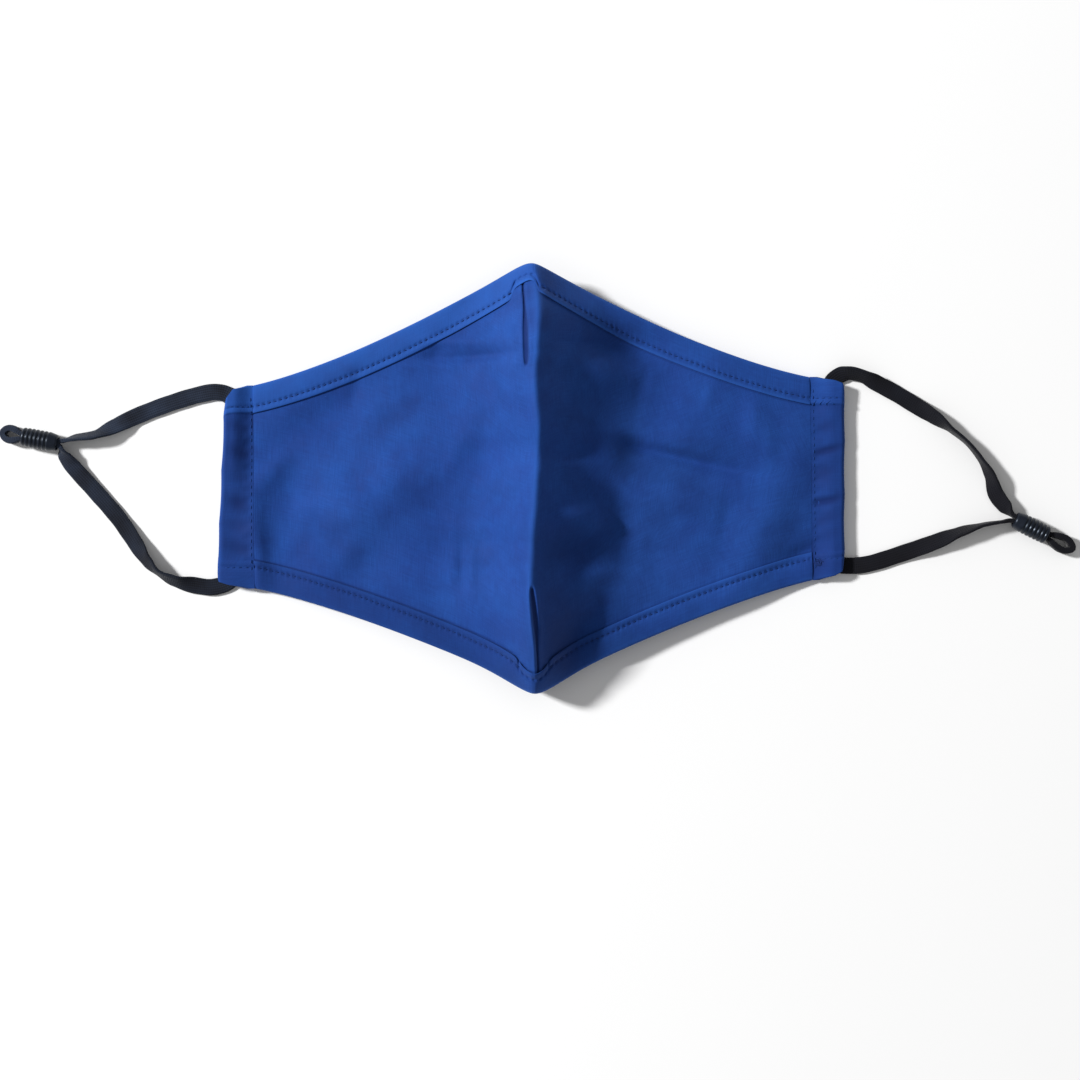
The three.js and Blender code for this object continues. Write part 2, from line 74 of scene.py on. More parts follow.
MM = 0.001
CORNERS = {name: np.array(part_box(name)) for name in frame["nodes"]}
LEFT_LOW, LEFT_HIGH = CORNERS["side_channel_left"]
RIGHT_HIGH = CORNERS["side_channel_right"][1]
PANEL_HIGH = CORNERS["face_panel"][1]
NOSE_HIGH = CORNERS["nose_binding"][1]
CHIN_LOW = CORNERS["chin_binding"][0]

# The middle of the sewn body, on the table: every piece is worked out round it
MIDDLE = np.array([(LEFT_LOW[0] + RIGHT_HIGH[0]) / 2, (LEFT_LOW[1] + LEFT_HIGH[1]) / 2, LEFT_LOW[2]])
HALF_WIDTH = (RIGHT_HIGH[0] - LEFT_LOW[0]) / 2
SIDE_HALF = (LEFT_HIGH[1] - LEFT_LOW[1]) / 2

# Soft folds of the face, in millimetres round the middle. turn is the fold's angle from the X axis in
# degrees, long and wide its spread along and across itself, rise its height, below zero for a valley.
FOLD_COLUMNS = ("x", "y", "turn", "long", "wide", "rise")
FOLDS = (
    (-23.2, 49.7, -3, 16.1, 2.1, 1.40),
    (-21.7, 44.4, 0, 20.2, 1.8, -1.50),
    (-33.7, 46.6, 5, 3.9, 2.6, -1.04),
    (-49.9, -1.6, 27, 36.0, 12.4, 4.80),
    (-37.2, -16.0, 37, 29.3, 9.5, 0.98),
    (-15.6, 15.5, 82, 25.3, 5.5, -1.60),
    (-93.0, 6.2, 44, 10.7, 4.7, 1.22),
    (-73.7, 24.9, 31, 22.5, 7.2, -2.16),
    (-100.1, -17.3, -86, 18.6, 4.2, 2.79),
    (-86.7, -7.4, 86, 18.5, 7.7, -2.55),
    (-25.5, -29.2, 89, 7.7, 1.6, -1.11),
    (-21.8, -31.6, 87, 6.9, 1.4, 0.95),
    (-62.8, 34.8, 78, 7.1, 2.5, -0.44),
    (-4.5, -27.1, -81, 12.9, 1.2, -0.58),
    (26.4, 10.7, -5, 9.5, 8.4, 3.55),
    (19.8, -13.2, -15, 7.9, 5.0, 3.09),
    (29.1, -15.3, -80, 12.4, 4.4, -1.63),
    (13.4, -25.1, 61, 8.2, 7.0, -1.77),
    (27.8, -46.7, 73, 12.2, 6.8, 1.43),
    (17.9, -51.4, 61, 10.2, 5.4, -2.05),
    (36.1, 49.3, -13, 14.5, 7.4, -4.28),
    (47.1, 32.1, 69, 16.6, 12.9, -3.38),
    (23.3, 40.0, -2, 7.8, 4.3, 1.89),
    (21.3, 48.2, 2, 12.9, 2.0, -1.07),
    (53.0, 7.7, -14, 23.9, 2.5, -2.46),
    (61.5, 14.3, -9, 27.1, 5.9, 1.99),
    (56.4, -23.6, 20, 9.7, 5.2, 0.56),
    (68.1, -14.3, 80, 11.0, 2.2, -0.26),
    (70.4, -14.2, 80, 10.7, 3.1, -0.24),
    (79.4, 20.5, 85, 10.7, 4.1, 1.24),
    (84.5, -12.8, 66, 30.4, 9.6, 2.78),
    (96.6, -27.0, 22, 6.5, 3.0, -1.24),
    (39.3, 33.6, 71, 6.9, 2.5, -0.44),
    (63.4, 31.0, 73, 5.8, 2.0, 0.29),
    (35.5, 11.6, 0, 5.2, 4.2, -1.27),
    (19.4, -1.5, -60, 5.1, 3.0, -0.50),
    (14.7, -53.6, 79, 8.3, 5.9, -1.41),
    (84.3, 14.5, 89, 10.2, 3.6, 0.94),
    (74.4, -3.2, 3, 11.3, 4.6, 1.03),
    (57.2, -7.9, -16, 23.6, 5.1, 1.68),
    (93.1, -27.9, 13, 9.4, 4.0, -0.79),
    (43.6, -29.1, -5, 11.9, 6.8, -1.81),
    (-66.3, -24.5, 35, 9.5, 5.7, 1.60),
    (-27.6, 9.4, 64, 8.4, 3.3, 0.61),
    (-78.8, -16.1, 60, 9.5, 4.7, -0.81),
    (-96.0, 0.2, 50, 8.1, 3.9, 0.17),
    (-37.8, 39.1, -2, 10.1, 4.0, -0.84),
    (-68.5, 18.1, 43, 13.6, 5.2, -0.69),
    (-15.6, -29.7, 86, 12.1, 4.0, -0.19),
    (-43.4, -34.4, 7, 13.0, 5.2, 0.52),
    (27.0, 35.4, 0, 8.1, 4.4, 1.59),
    (14.1, -57.2, 21, 7.8, 6.1, -1.44),
    (27.4, -55.3, 23, 8.9, 4.2, 0.87),
    (13.4, -12.3, 80, 7.0, 5.0, 0.54),
    (18.8, -35.7, 21, 6.6, 4.8, 0.77),
    (16.4, 3.9, 10, 9.2, 4.0, -0.34),
    (18.3, -23.1, 30, 6.3, 4.0, -1.25),
    (14.0, 5.0, 8, 10.0, 3.5, 1.20),
    (13.0, -12.0, -10, 8.0, 4.0, 1.40),
    (21.0, -34.0, 10, 8.0, 4.0, 1.20),
)

# The crease wanders a little: its place across, in millimetres, at places along Y.
CREASE_COLUMNS = ("y", "x")
CREASE = (
    (-76, -0.6),
    (-66, -0.4),
    (-56, -0.6),
    (-48, -0.9),
    (-38, -1.4),
    (-28, -0.9),
    (-18, -0.2),
    (-8, 0.7),
    (3, 1.6),
    (11, 1.9),
    (18, 2.7),
    (26, 1.7),
    (36, 1.2),
    (48, 2.4),
    (60, 3.2),
    (76, 1.6),
)

# Swellings and notches of the crest, in millimetres: where along Y, how long, how high.
CREST_COLUMNS = ("y", "long", "rise")
CREST = (
    (25.4, 5.8, 0.21),
    (11.0, 5.8, -2.50),
    (6.5, 8.7, -0.86),
    (-22.3, 4.5, -1.23),
    (-33.4, 6.2, 0.68),
    (56.9, 7.6, 2.00),
    (-51.0, 7.1, -0.06),
)

# Puckers of a side channel, in millimetres: where along Y, spread along and across, how deep.
PUCKER_COLUMNS = ("y", "along", "across", "dip")
LEFT_PUCKERS = (
    (21, 2.4, 4.0, 0.40),
    (12, 3.0, 4.5, 0.60),
    (3, 2.6, 4.0, 0.35),
    (-6, 3.4, 4.5, 0.70),
    (-14, 2.6, 4.0, 0.35),
    (-22, 3.0, 5.0, 0.60),
)
RIGHT_PUCKERS = (
    (18, 2.2, 3.6, 0.35),
    (9.5, 1.5, 5.5, 0.75),
    (2, 2.8, 4.0, 0.35),
    (-8.5, 1.6, 5.5, 0.75),
    (-15, 2.4, 4.0, 0.35),
    (-21, 2.6, 4.0, 0.25),
)

# Short threads on the right channel, in millimetres and degrees: a row of back stitches below the nose hem,
# and the crossed threads of a knot. across is counted from the seam, dark is how much painted shade darkens
# a thread.
TACK_COLUMNS = ("across", "y", "turn", "dark")
TACKS = (
    (1.3, 27.1, 50, 0.2),
    (2.4, 26.8, -35, 0.2),
    (3.5, 27.1, 40, 0.2),
    (4.6, 26.7, -40, 0.2),
    (5.7, 27.0, 35, 0.2),
    (6.8, 26.7, -30, 0.2),
    (1.9, -29.6, 15, 0.9),
    (2.9, -30.6, 70, 0.9),
    (2.2, -30.2, 115, 0.9),
    (3.0, -29.7, 160, 0.9),
    (1.5, -30.8, -40, 0.9),
    (2.3, -31.2, 5, 0.9),
)

# Legs of the elastic on the table, as in the part: out is a share of the reach to the lock, up a share of the
# channel's half height, turn is how far the band stands on its edge, in degrees.
LEG_COLUMNS = ("out", "up", "turn")
LEFT_UPPER = (
    (-0.052, 0.955, 0),
    (0.022, 0.991, 0),
    (0.123, 0.968, 0),
    (0.323, 0.873, 0),
    (0.524, 0.749, 0),
    (0.657, 0.645, 25),
    (0.775, 0.562, 60),
    (0.891, 0.536, 68),
)
LEFT_LOWER = (
    (0.966, 0.345, 36),
    (0.903, 0.205, 8),
    (0.782, -0.026, 0),
    (0.635, -0.321, 0),
    (0.538, -0.564, 15),
    (0.465, -0.751, 45),
    (0.393, -0.876, 70),
    (0.294, -0.965, 50),
    (0.170, -1.014, 10),
    (0.060, -1.035, 0),
    (-0.045, -0.975, 0),
)
RIGHT_UPPER = (
    (-0.066, 0.990, 0),
    (-0.018, 1.065, 10),
    (0.033, 1.082, 45),
    (0.121, 1.043, 50),
    (0.215, 0.962, 15),
    (0.310, 0.873, 0),
    (0.430, 0.740, 5),
    (0.530, 0.618, 45),
    (0.639, 0.471, 85),
    (0.733, 0.332, 90),
    (0.805, 0.170, 88),
    (0.861, -0.006, 66),
    (0.897, -0.197, 32),
    (0.946, -0.322, 42),
)
RIGHT_LOWER = (
    (0.927, -0.483, 90),
    (0.820, -0.509, 85),
    (0.675, -0.581, 60),
    (0.530, -0.682, 25),
    (0.339, -0.795, 0),
    (0.149, -0.893, 0),
    (0.053, -0.915, 0),
    (-0.040, -0.900, 0),
)

# The small loop beyond a lock: pairs of how far beyond, as a share of its length, and how far aside, as a
# share of its half width.
END_LOOP = ((0.34, 0.78), (0.62, 1.0), (0.85, 0.72))

# The bore of a lock: places along it, from the far end back, as shares of its length, and how much wider it
# is there in millimetres.
BORE_COLUMNS = ("along", "flare")
BORE = (
    (1, 0.3),
    (0.99, 0.17),
    (0.975, 0.06),
    (0.94, 0),
    (0.75, 0),
    (0.5, 0),
    (0.25, 0),
    (0.06, 0),
    (0.025, 0.06),
    (0.01, 0.17),
    (0, 0.3),
)

# Each side's own numbers: lengths in millimetres, lock_up as a share of the channel's half height. shade is
# the painted shade on the side channel, and the number after lean is the place along Y, in millimetres, of a
# short dash of painted shade at its seam.
SIDES = {
    "left": {
        "sign": -1,
        "reach": 57.8,
        "end_loop": 8.6,
        "lock_up": 0.48,
        "lock_tilt": 11.5,
        "upper": LEFT_UPPER,
        "lower": LEFT_LOWER,
        "puckers": LEFT_PUCKERS,
        "top_corner": 3.2,
        "bottom_corner": 0.8,
        "lean": 2.0,
        "seam_shade": 22.5,
        "shade": 0.38,
        "lint": 1.0,
    },
    "right": {
        "sign": 1,
        "reach": 60.4,
        "end_loop": 11.6,
        "lock_up": -0.457,
        "lock_tilt": -27.6,
        "upper": RIGHT_UPPER,
        "lower": RIGHT_LOWER,
        "puckers": RIGHT_PUCKERS,
        "top_corner": 1.0,
        "bottom_corner": 1.2,
        "lean": 0.6,
        "seam_shade": -29.0,
        "shade": 0.5,
        "lint": 0.15,
    },
}

# The nose and chin edges, in millimetres where nothing else is said. side is the way along Y, curve the
# power of the hollow line, round its softness at the middle, bulge the fullness at its tip and height that
# of the crease there. notch is the depth, place, half width and power of the hem's narrowing over the dart,
# flush the spread of its sewn-down flanks, dart the dart's place at the hem and at its tip. The pair for the
# hem's tone, left and right of the crease, paints light on the hem above zero and shade below zero; shaded
# is the painted shade on the cloth beside its lip, left and right. The lip's wear number is how rubbed the
# lip is, and it also paints a highlight along the lip.
EDGES = {
    "nose": {
        "side": 1,
        "curve": 1.46,
        "round": 4.0,
        "bulge": 0.0,
        "height": 16.0,
        "notch": (3.1, -1.8, 4.4, 8),
        "flush": 1.7,
        "dart": (-2.4, -1.5),
        "painted_light_and_shade": (0.85, 0.05),
        "shaded": (0.0, 0.55),
        "lip_wear_and_highlight": 0.8,
    },
    "chin": {
        "side": -1,
        "curve": 1.34,
        "round": 3.4,
        "bulge": 2.4,
        "height": 13.0,
        "notch": (2.2, -0.6, 5.2, 4),
        "flush": 0.4,
        "dart": (0.9, -0.8),
        "painted_light_and_shade": (-0.4, 0.1),
        "shaded": (1.0, 0.35),
        "lip_wear_and_highlight": 0.35,
    },
}

# Spread of the fullness at an edge's tip.
TIP_BULGE_WIDTH = 14 * MM

# The crease's place is the mean of looks this far along Y, in millimetres.
CREASE_LOOKS = (-4, -2, 0, 2, 4)

# How far past an edge the crest goes on falling, as a share of the way there.
PAST_EDGE = 1.1

# Over how much to each side of the crease a left and a right look blend into one another.
CREASE_BLEND = 10 * MM

# The panel's back stays this far above the table.
TABLE_CLEARANCE = 0.2 * MM

# How softly the back of a hem is pressed flat where it meets the table.
FLOOR_GAP = 0.4 * MM

# Straight up from the table.
UP = np.array([0.0, 0.0, 1.0])

# Sheen of the blue cotton and of its thread.
BLUE_SHEEN = (0.2, 0.45, 1.0, 1.0)

# The stitch row of a hem runs this far outside its lip.
STITCH_FROM_LIP = 2.3 * MM

# The flat of a side channel between its stitch line and its tunnel.
PINCH = 2.4 * MM

# Raised cloth beside a dart, in millimetres: which way it lies, whether it follows the slot's edge or its
# middle, how far out it is, its spread and its rise.
DART_LIP_COLUMNS = ("way", "from_slot", "out", "spread", "rise")
DART_LIPS = (
    (-1, 1, 0.7, 0.6, 0.36),
    (1, 1, 0.8, 0.7, 0.26),
    (-1, 0, 3.4, 2.2, 0.20),
)

# How far the seams of the side channels pull the cloth in.
SEAM_DIP = 0.1 * MM

# Hollows where little light gets in, right of the crease and round a knot: places and spreads in millimetres,
# and how much painted shade darkens each.
HOLLOW_COLUMNS = ("x", "y", "across", "along", "dark")
HOLLOWS = (
    (9, -57, 9, 16, 0.85),
    (11, -25, 8, 6, 0.45),
    (102.3, -30.3, 2.2, 1.9, 0.55),
)

# How much of a dart's length, and a little beyond it, its slot takes up.
DART_SLOT_SHARE = 1.07


def length(name, description, default):
    """A property that holds a length in metres."""
    return FloatProperty(
        name=name, description=description, default=default, min=0, precision=5, unit="LENGTH"
    )


def share(name, description, default):
    """A property that holds a plain share or strength."""
    return FloatProperty(name=name, description=description, default=default, min=0, subtype="FACTOR")


def colour(name, description, default):
    """A property that holds a linear colour."""
    return FloatVectorProperty(
        name=name, description=description, default=default, min=0, max=1, subtype="COLOR"
    )


class MaskSizes(bpy.types.PropertyGroup):
    """Sizes of the sewn body."""

    half_width: length("Half width", "Middle to the outer fold of a side channel", HALF_WIDTH)
    side_half: length("Side half height", "Middle of a side to its corner", SIDE_HALF)
    nose_reach: length("Nose reach", "Middle to the nose edge", NOSE_HIGH[1] - MIDDLE[1])
    chin_reach: length("Chin reach", "Middle to the chin edge", MIDDLE[1] - CHIN_LOW[1])
    crest: length("Crease height", "Crest of the crease above the table", PANEL_HIGH[2] - MIDDLE[2])
    crease_round: length("Crease softness", "Roundness of the pressed fold", 1.6 * MM)
    steep_width: length("Steep slope width", "Width of the steep slope beside the crease", 35.5 * MM)
    steep_curve: share("Steep slope curve", "Power of the steep slope", 2.03)
    low_share: share("Low slope share", "Share of the height that the wide low slope gives", 0.345)
    low_curve: share("Low slope curve", "Power of the wide low slope", 1.05)
    crest_fall: share("Crest fall", "Power of the crest's fall towards the edges", 1.5)
    panel_wall: length("Panel thickness", "The face panel's layers together", 1.2 * MM)
    hem_wall: length("Hem thickness", "The strip folded over the edges", 0.55 * MM)
    hem_width: length("Hem width", "Fold to lip on the face side", 9.8 * MM)
    hem_back_width: length("Hem width behind", "Fold to lip on the back", 8.4 * MM)
    fit_gap: length("Fit gap", "Between two layers that touch", 0.1 * MM)
    seam_gap: length("Seam gap", "Between the panel and a side channel", 0.03 * MM)
    dart_length: length("Dart length", "Length of the nose and chin darts", 29 * MM)
    dart_width: length("Dart width", "Widest gap of a dart", 1.7 * MM)
    channel_width: length("Channel width", "Stitch line to outer fold", LEFT_HIGH[0] - LEFT_LOW[0])
    channel_wall: length("Channel thickness", "One layer of a side channel", 0.8 * MM)
    channel_height: length("Channel height", "Over the elastic in it", 4.7 * MM)
    mouth_depth: length("Mouth depth", "The back layer stops this far short of the front layer", 7 * MM)
    stitch_pitch: length("Stitch pitch", "One stitch and its gap", 2.1 * MM)
    thread: length("Thread thickness", "Sewing thread across", 0.34 * MM)


class ElasticSizes(bpy.types.PropertyGroup):
    """Sizes of the ear loops and of their cord locks."""

    width: length("Elastic width", "Flat width of the band", 6 * MM)
    thickness: length("Elastic thickness", "Thickness of the band", 1.3 * MM)
    strand_width: length("Strand width", "Gathered inside the lock, standing on edge", 3 * MM)
    strand_thickness: length("Strand thickness", "Gathered inside the lock", 1.7 * MM)
    loop_thickness: length("End loop thickness", "Rolled together beyond the lock", 2.4 * MM)
    loop_standing: length("End loop height", "Standing beyond the lock", 3.6 * MM)
    loop_half_width: length("End loop half width", "Middle of the loop to the elastic's middle", 2.2 * MM)
    table_gap: length("Table gap", "Under the elastic", 0.2 * MM)
    lock_length: length("Lock length", "End to end", 13 * MM)
    lock_radius: length("Lock radius", "Over the ribs", 3.5 * MM)
    lock_collar: length("Lock collar", "Smooth length at the near end", 3.9 * MM)
    lock_collar_radius: length("Lock collar radius", "At the near end", 2.9 * MM)
    lock_groove: length("Lock groove", "Depth between the ribs", 0.34 * MM)
    lock_ribs: IntProperty(name="Lock ribs", description="Ribs on one lock", default=6, min=1, max=12)


class MaskColours(bpy.types.PropertyGroup):
    """Linear colours of the finishes."""

    cloth: colour("Cloth", "Royal blue cotton", (0.0085, 0.0465, 0.245))
    # Paler cloth: random pale patches and worn folds, and painted highlights along the crease, the hems' lips
    # and the nose hem.
    cloth_worn: colour("Worn cloth", "Folded edges, a little faded", (0.0155, 0.081, 0.35))
    # Painted shade: this darker cloth stands in for shade in folds, dents, dart slots, stitches and hollows.
    # It also gives random darker patches and threads.
    cloth_deep: colour("Deep cloth", "Inside folds and dents", (0.0036, 0.019, 0.115))
    elastic: colour("Elastic", "Black knitted elastic", (0.0052, 0.0050, 0.0072))
    elastic_light: colour("Elastic ribs", "Raised ribs of the elastic", (0.0245, 0.0355, 0.0620))
    lint: colour("Lint", "Pale lint on the elastic", (0.034, 0.037, 0.046))
    lock: colour("Cord lock", "Black soft rubber", (0.0024, 0.0034, 0.0062))
    lock_worn: colour("Worn cord lock", "Rubbed crests of the ribs", (0.010, 0.013, 0.022))
    table: colour("Table", "Plain pale table", (0.92, 0.92, 0.92))


class StageSettings(bpy.types.PropertyGroup):
    """Camera and lights."""

    camera_height: length("Camera height", "Lens above the table", 0.7)
    frame_width: length("Frame width", "Width of the picture at the table", 0.3888)
    roll: FloatProperty(
        name="Camera roll",
        description="Turn of the camera about its own axis",
        default=math.radians(0.87),
        subtype="ANGLE",
    )
    sun_azimuth: FloatProperty(
        name="Light azimuth",
        description="Way to the main light from the X axis, seen from above",
        default=math.radians(160),
        subtype="ANGLE",
    )
    sun_elevation: FloatProperty(
        name="Light elevation",
        description="Main light above the horizon",
        default=math.radians(36),
        subtype="ANGLE",
    )
    sun_size: length("Light size", "Side of the square main light", 0.44)
    sun_distance: length("Light distance", "Main light to the middle of the table", 4.0)
    sun_power: FloatProperty(name="Light power", description="Main light", default=214, min=0, unit="POWER")
    ambient: share("Ambient light", "Even light from all round", 0.345)


def columns_of(table, names):
    """A table as a dict of arrays, one for each named column."""
    return dict(zip(names, np.array(table, dtype=float).T))


def rows_of(table, names):
    """A table as a list of dicts, one for each row, with the names of its columns."""
    return [dict(zip(names, row)) for row in table]


def smooth_step(low, high, value):
    """0 below low, 1 above high, and a smooth cubic between them."""
    t = np.clip((value - low) / (high - low), 0, 1)
    return t * t * (3 - 2 * t)


def hill(value, middle, spread):
    """A bell curve: 1 at the middle, falling off with the square of the distance over the spread."""
    return np.exp(-(((value - middle) / spread) ** 2))


def wave(place, long, start=0.0):
    """A sine wave along place, whose phase goes on by one radian in each long, given in millimetres."""
    return np.sin(place / (long * MM) + start)


def unit(vectors):
    """Vectors brought to the length one."""
    return vectors / np.linalg.norm(vectors, axis=-1, keepdims=True)


def upright_frame(ahead):
    """For each way ahead, the level way across it, and the way square to both on the upper side."""
    across = unit(np.cross(UP, ahead))
    return across, np.cross(ahead, across)


def outside_only(**values):
    """Numbers for the points of a wall's outer side, with as many zeros for its inner side."""
    return {key: np.concatenate([numbers.ravel(), np.zeros(numbers.size)]) for key, numbers in values.items()}


def reach_of(sizes, edge):
    """How far the nose or chin edge is from the body's middle."""
    return sizes.nose_reach if edge["side"] > 0 else sizes.chin_reach


def edge_reach(sizes, x, edge):
    """Reach of an edge at x: the side's half height plus a rise that falls with the softened distance from
    the middle, as a power of one minus its share of the half width, plus a bell-shaped fullness at the
    tip."""
    soft = np.hypot(x, edge["round"] * MM)

    def fall(distance):
        return np.clip(1 - distance / sizes.half_width, 0, None) ** edge["curve"]

    rise = reach_of(sizes, edge) - sizes.side_half - edge["bulge"] * MM
    tip = edge["bulge"] * MM * hill(x, 0, TIP_BULGE_WIDTH)
    return sizes.side_half + rise * fall(soft) / fall(edge["round"] * MM) + tip


def edge_stretch(sizes, x, edge):
    """How much longer a step square to the edge is when it is taken along Y: the length of (1, slope)."""
    step = 0.5 * MM
    away = np.abs(x)
    slope = (edge_reach(sizes, away + step, edge) - edge_reach(sizes, away, edge)) / step
    return np.hypot(1, slope)


def crease_place(y):
    """Where the crease lies across the body at each y: the crease table read in straight steps, and smoothed
    as the mean of five looks a few millimetres apart."""
    line = columns_of(CREASE, CREASE_COLUMNS)
    looks = [np.interp(y / MM + shift, line["y"], line["x"]) for shift in CREASE_LOOKS]
    return np.mean(looks, axis=0) * MM


def crest_height(sizes, y):
    """Crest of the crease: level between the darts' ends, then falling by a power of the way to each edge.
    The swellings and notches of the crest table are added as bell curves."""
    height = np.full_like(y, sizes.crest)
    narrowing = EDGES["nose"]["notch"][0] * MM
    for edge in EDGES.values():
        reach = reach_of(sizes, edge)
        level = reach - sizes.hem_width + narrowing - sizes.dart_length
        way = np.clip((y * edge["side"] - level) / (reach - level), 0, PAST_EDGE)
        height = height - (sizes.crest - edge["height"] * MM) * way**sizes.crest_fall
    for swelling in rows_of(CREST, CREST_COLUMNS):
        height = height + swelling["rise"] * MM * hill(y, swelling["y"] * MM, swelling["long"] * MM)
    return height


def fold_height(x, y):
    """Sum of the fold table's bell-shaped ridges and valleys."""
    total = np.zeros(np.broadcast(x, y).shape)
    for fold in rows_of(FOLDS, FOLD_COLUMNS):
        turn = math.radians(fold["turn"])
        from_x = x / MM - fold["x"]
        from_y = y / MM - fold["y"]
        along = (from_x * math.cos(turn) + from_y * math.sin(turn)) / fold["long"]
        across = (from_y * math.cos(turn) - from_x * math.sin(turn)) / fold["wide"]
        total += fold["rise"] * MM * np.exp(-(along**2) - across**2)
    return total


def ripple_height(sizes, x, y):
    """Small soft waves: three crossed sine waves of unlike lengths, multiplied by a slow one, fading at the
    sides. Their heights are in millimetres."""
    upright = 0.15 * wave(x, 7.3, 0.9 * wave(y, 15))
    level = 0.14 * wave(y, 9.1, 1.3 * wave(x, 19, 0.4))
    slanted = 0.08 * wave(x + y, 5.7, 1.1)
    slow = 0.6 + 0.4 * wave(x, 31) * wave(y, 23, math.pi / 2)
    side_fade = 1 - smooth_step(0.9, 1.0, np.abs(x) / (sizes.half_width - sizes.channel_width))
    return (upright + level + slanted) * MM * slow * side_fade


def panel_half(sizes):
    """Half width of the face panel between the side channels."""
    return sizes.half_width - sizes.channel_width - sizes.seam_gap


def face_height(sizes, x, y):
    """Outer face of the panel: nearly flat at the sides, plus the crest's height shared between a wide low
    slope and a steep slope, each a power of one minus the share of its width, plus the folds and ripples."""
    top_at_side = TABLE_CLEARANCE + sizes.hem_wall + sizes.fit_gap + sizes.panel_wall
    crest = crest_height(sizes, y) - top_at_side
    place = crease_place(y)
    from_crease = x - place
    away = np.hypot(from_crease, sizes.crease_round) - sizes.crease_round
    side_width = panel_half(sizes) - np.sign(from_crease) * place
    low = sizes.low_share * np.clip(1 - away / side_width, 0, 1) ** sizes.low_curve
    steep_reach = sizes.steep_width * crest / (sizes.crest - top_at_side)
    steep = (1 - sizes.low_share) * np.clip(1 - away / steep_reach, 0, 1) ** sizes.steep_curve
    return top_at_side + crest * (low + steep) + fold_height(x, y) + ripple_height(sizes, x, y)


def slant_at(sizes, x, y):
    """How much taller an upright thickness is than the same one square to the face: the length of the face's
    upward normal when its Z part is 1, read a little to the side of the crease."""
    step = 0.8 * MM
    place = crease_place(y)
    out = place + np.where(x < place, -1, 1) * (np.abs(x - place) + 2 * step)
    over_x = (face_height(sizes, out + step, y) - face_height(sizes, out, y)) / step
    over_y = (face_height(sizes, x, y + step) - face_height(sizes, x, y - step)) / (2 * step)
    return np.sqrt(1 + over_x**2 + over_y**2)


def crowded(low, high, count, middle, spread, crowd):
    """count places from low to high that stand crowd times closer at middle than far from it: the running sum
    of a density of one plus a bell curve, turned round."""
    fine_count = 4000
    fine = np.linspace(low, high, fine_count)
    density = 1 + (crowd - 1) * hill(fine, middle, spread)
    total = np.concatenate([[0], np.cumsum((density[1:] + density[:-1]) / 2)])
    return np.interp(np.linspace(0, total[-1], count), total, fine)


def grid_faces(across, along, closed_across=False, closed_along=False):
    """Four-sided faces of a grid whose points are numbered along first."""
    i = np.arange(across if closed_across else across - 1)
    j = np.arange(along if closed_along else along - 1)
    i, j = np.meshgrid(i, j, indexing="ij")
    next_i = (i + 1) % across
    next_j = (j + 1) % along
    corners = (i * along + j, next_i * along + j, next_i * along + next_j, i * along + next_j)
    return np.stack([c.ravel() for c in corners], axis=1)


def shell_mesh(front, back):
    """Points and faces of one closed wall from two grids of the same shape: the front, the back turned over,
    and a band of faces round the rim."""
    across, along = front.shape[:2]
    points = np.concatenate([front.reshape(-1, 3), back.reshape(-1, 3)])
    faces = grid_faces(across, along)
    turned = faces[:, ::-1] + across * along
    index = np.arange(across * along).reshape(across, along)
    rim = np.concatenate([index[:, 0], index[-1, 1:], index[-2::-1, -1], index[0, -2:0:-1]])
    after = np.roll(rim, -1)
    band = np.stack([after, rim, rim + across * along, after + across * along], axis=1)
    return points, np.concatenate([faces, turned, band])


def volume_of(points, faces):
    """Signed volume of a closed surface, from the triangles of each face with the origin."""
    a, b, c, d = (points[faces[:, k]] for k in range(4))
    first = np.einsum("ij,ij->i", a, np.cross(b, c)).sum()
    second = np.einsum("ij,ij->i", a, np.cross(c, d)).sum()
    return (first + second) / 6


def put_in_scene(name, data):
    """Makes an object of a mesh, a camera or a light, and links it into the scene."""
    made = bpy.data.objects.new(name, data)
    bpy.context.scene.collection.objects.link(made)
    return made


def put_mesh(name, points, faces, material, uv=None, values=None):
    """Makes one object at the origin from round-the-middle points and four-sided faces, turned to face
    outwards, with an optional UV pair for each point, named numbers for each point, its material and its
    body."""
    points = points + MIDDLE
    if volume_of(points - points.mean(axis=0), faces) < 0:
        faces = faces[:, ::-1]
    mesh = bpy.data.meshes.new(name)
    mesh.vertices.add(len(points))
    mesh.vertices.foreach_set("co", points.astype(np.float32).ravel())
    mesh.loops.add(faces.size)
    mesh.loops.foreach_set("vertex_index", faces.astype(np.int32).ravel())
    mesh.polygons.add(len(faces))
    mesh.polygons.foreach_set("loop_start", np.arange(0, faces.size, 4, dtype=np.int32))
    mesh.update(calc_edges=True)
    if uv is not None:
        layer = mesh.uv_layers.new(name="cloth_grain")
        layer.data.foreach_set("uv", uv[faces.ravel()].astype(np.float32).ravel())
    for key, numbers in (values or {}).items():
        attribute = mesh.attributes.new(key, "FLOAT", "POINT")
        attribute.data.foreach_set("value", numbers.astype(np.float32).ravel())
    mesh.polygons.foreach_set("use_smooth", np.full(len(faces), True))
    mesh.validate()
    mesh.update()
    mesh.materials.append(material)
    made = put_in_scene(name, mesh)
    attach(made, "root")
    return made


def run_lengths(points, axis):
    """Length run along one axis of a grid of points, from 0."""
    steps = np.linalg.norm(np.diff(points, axis=axis), axis=-1)
    start = np.zeros_like(np.take(steps, [0], axis=axis))
    return np.concatenate([start, np.cumsum(steps, axis=axis)], axis=axis)


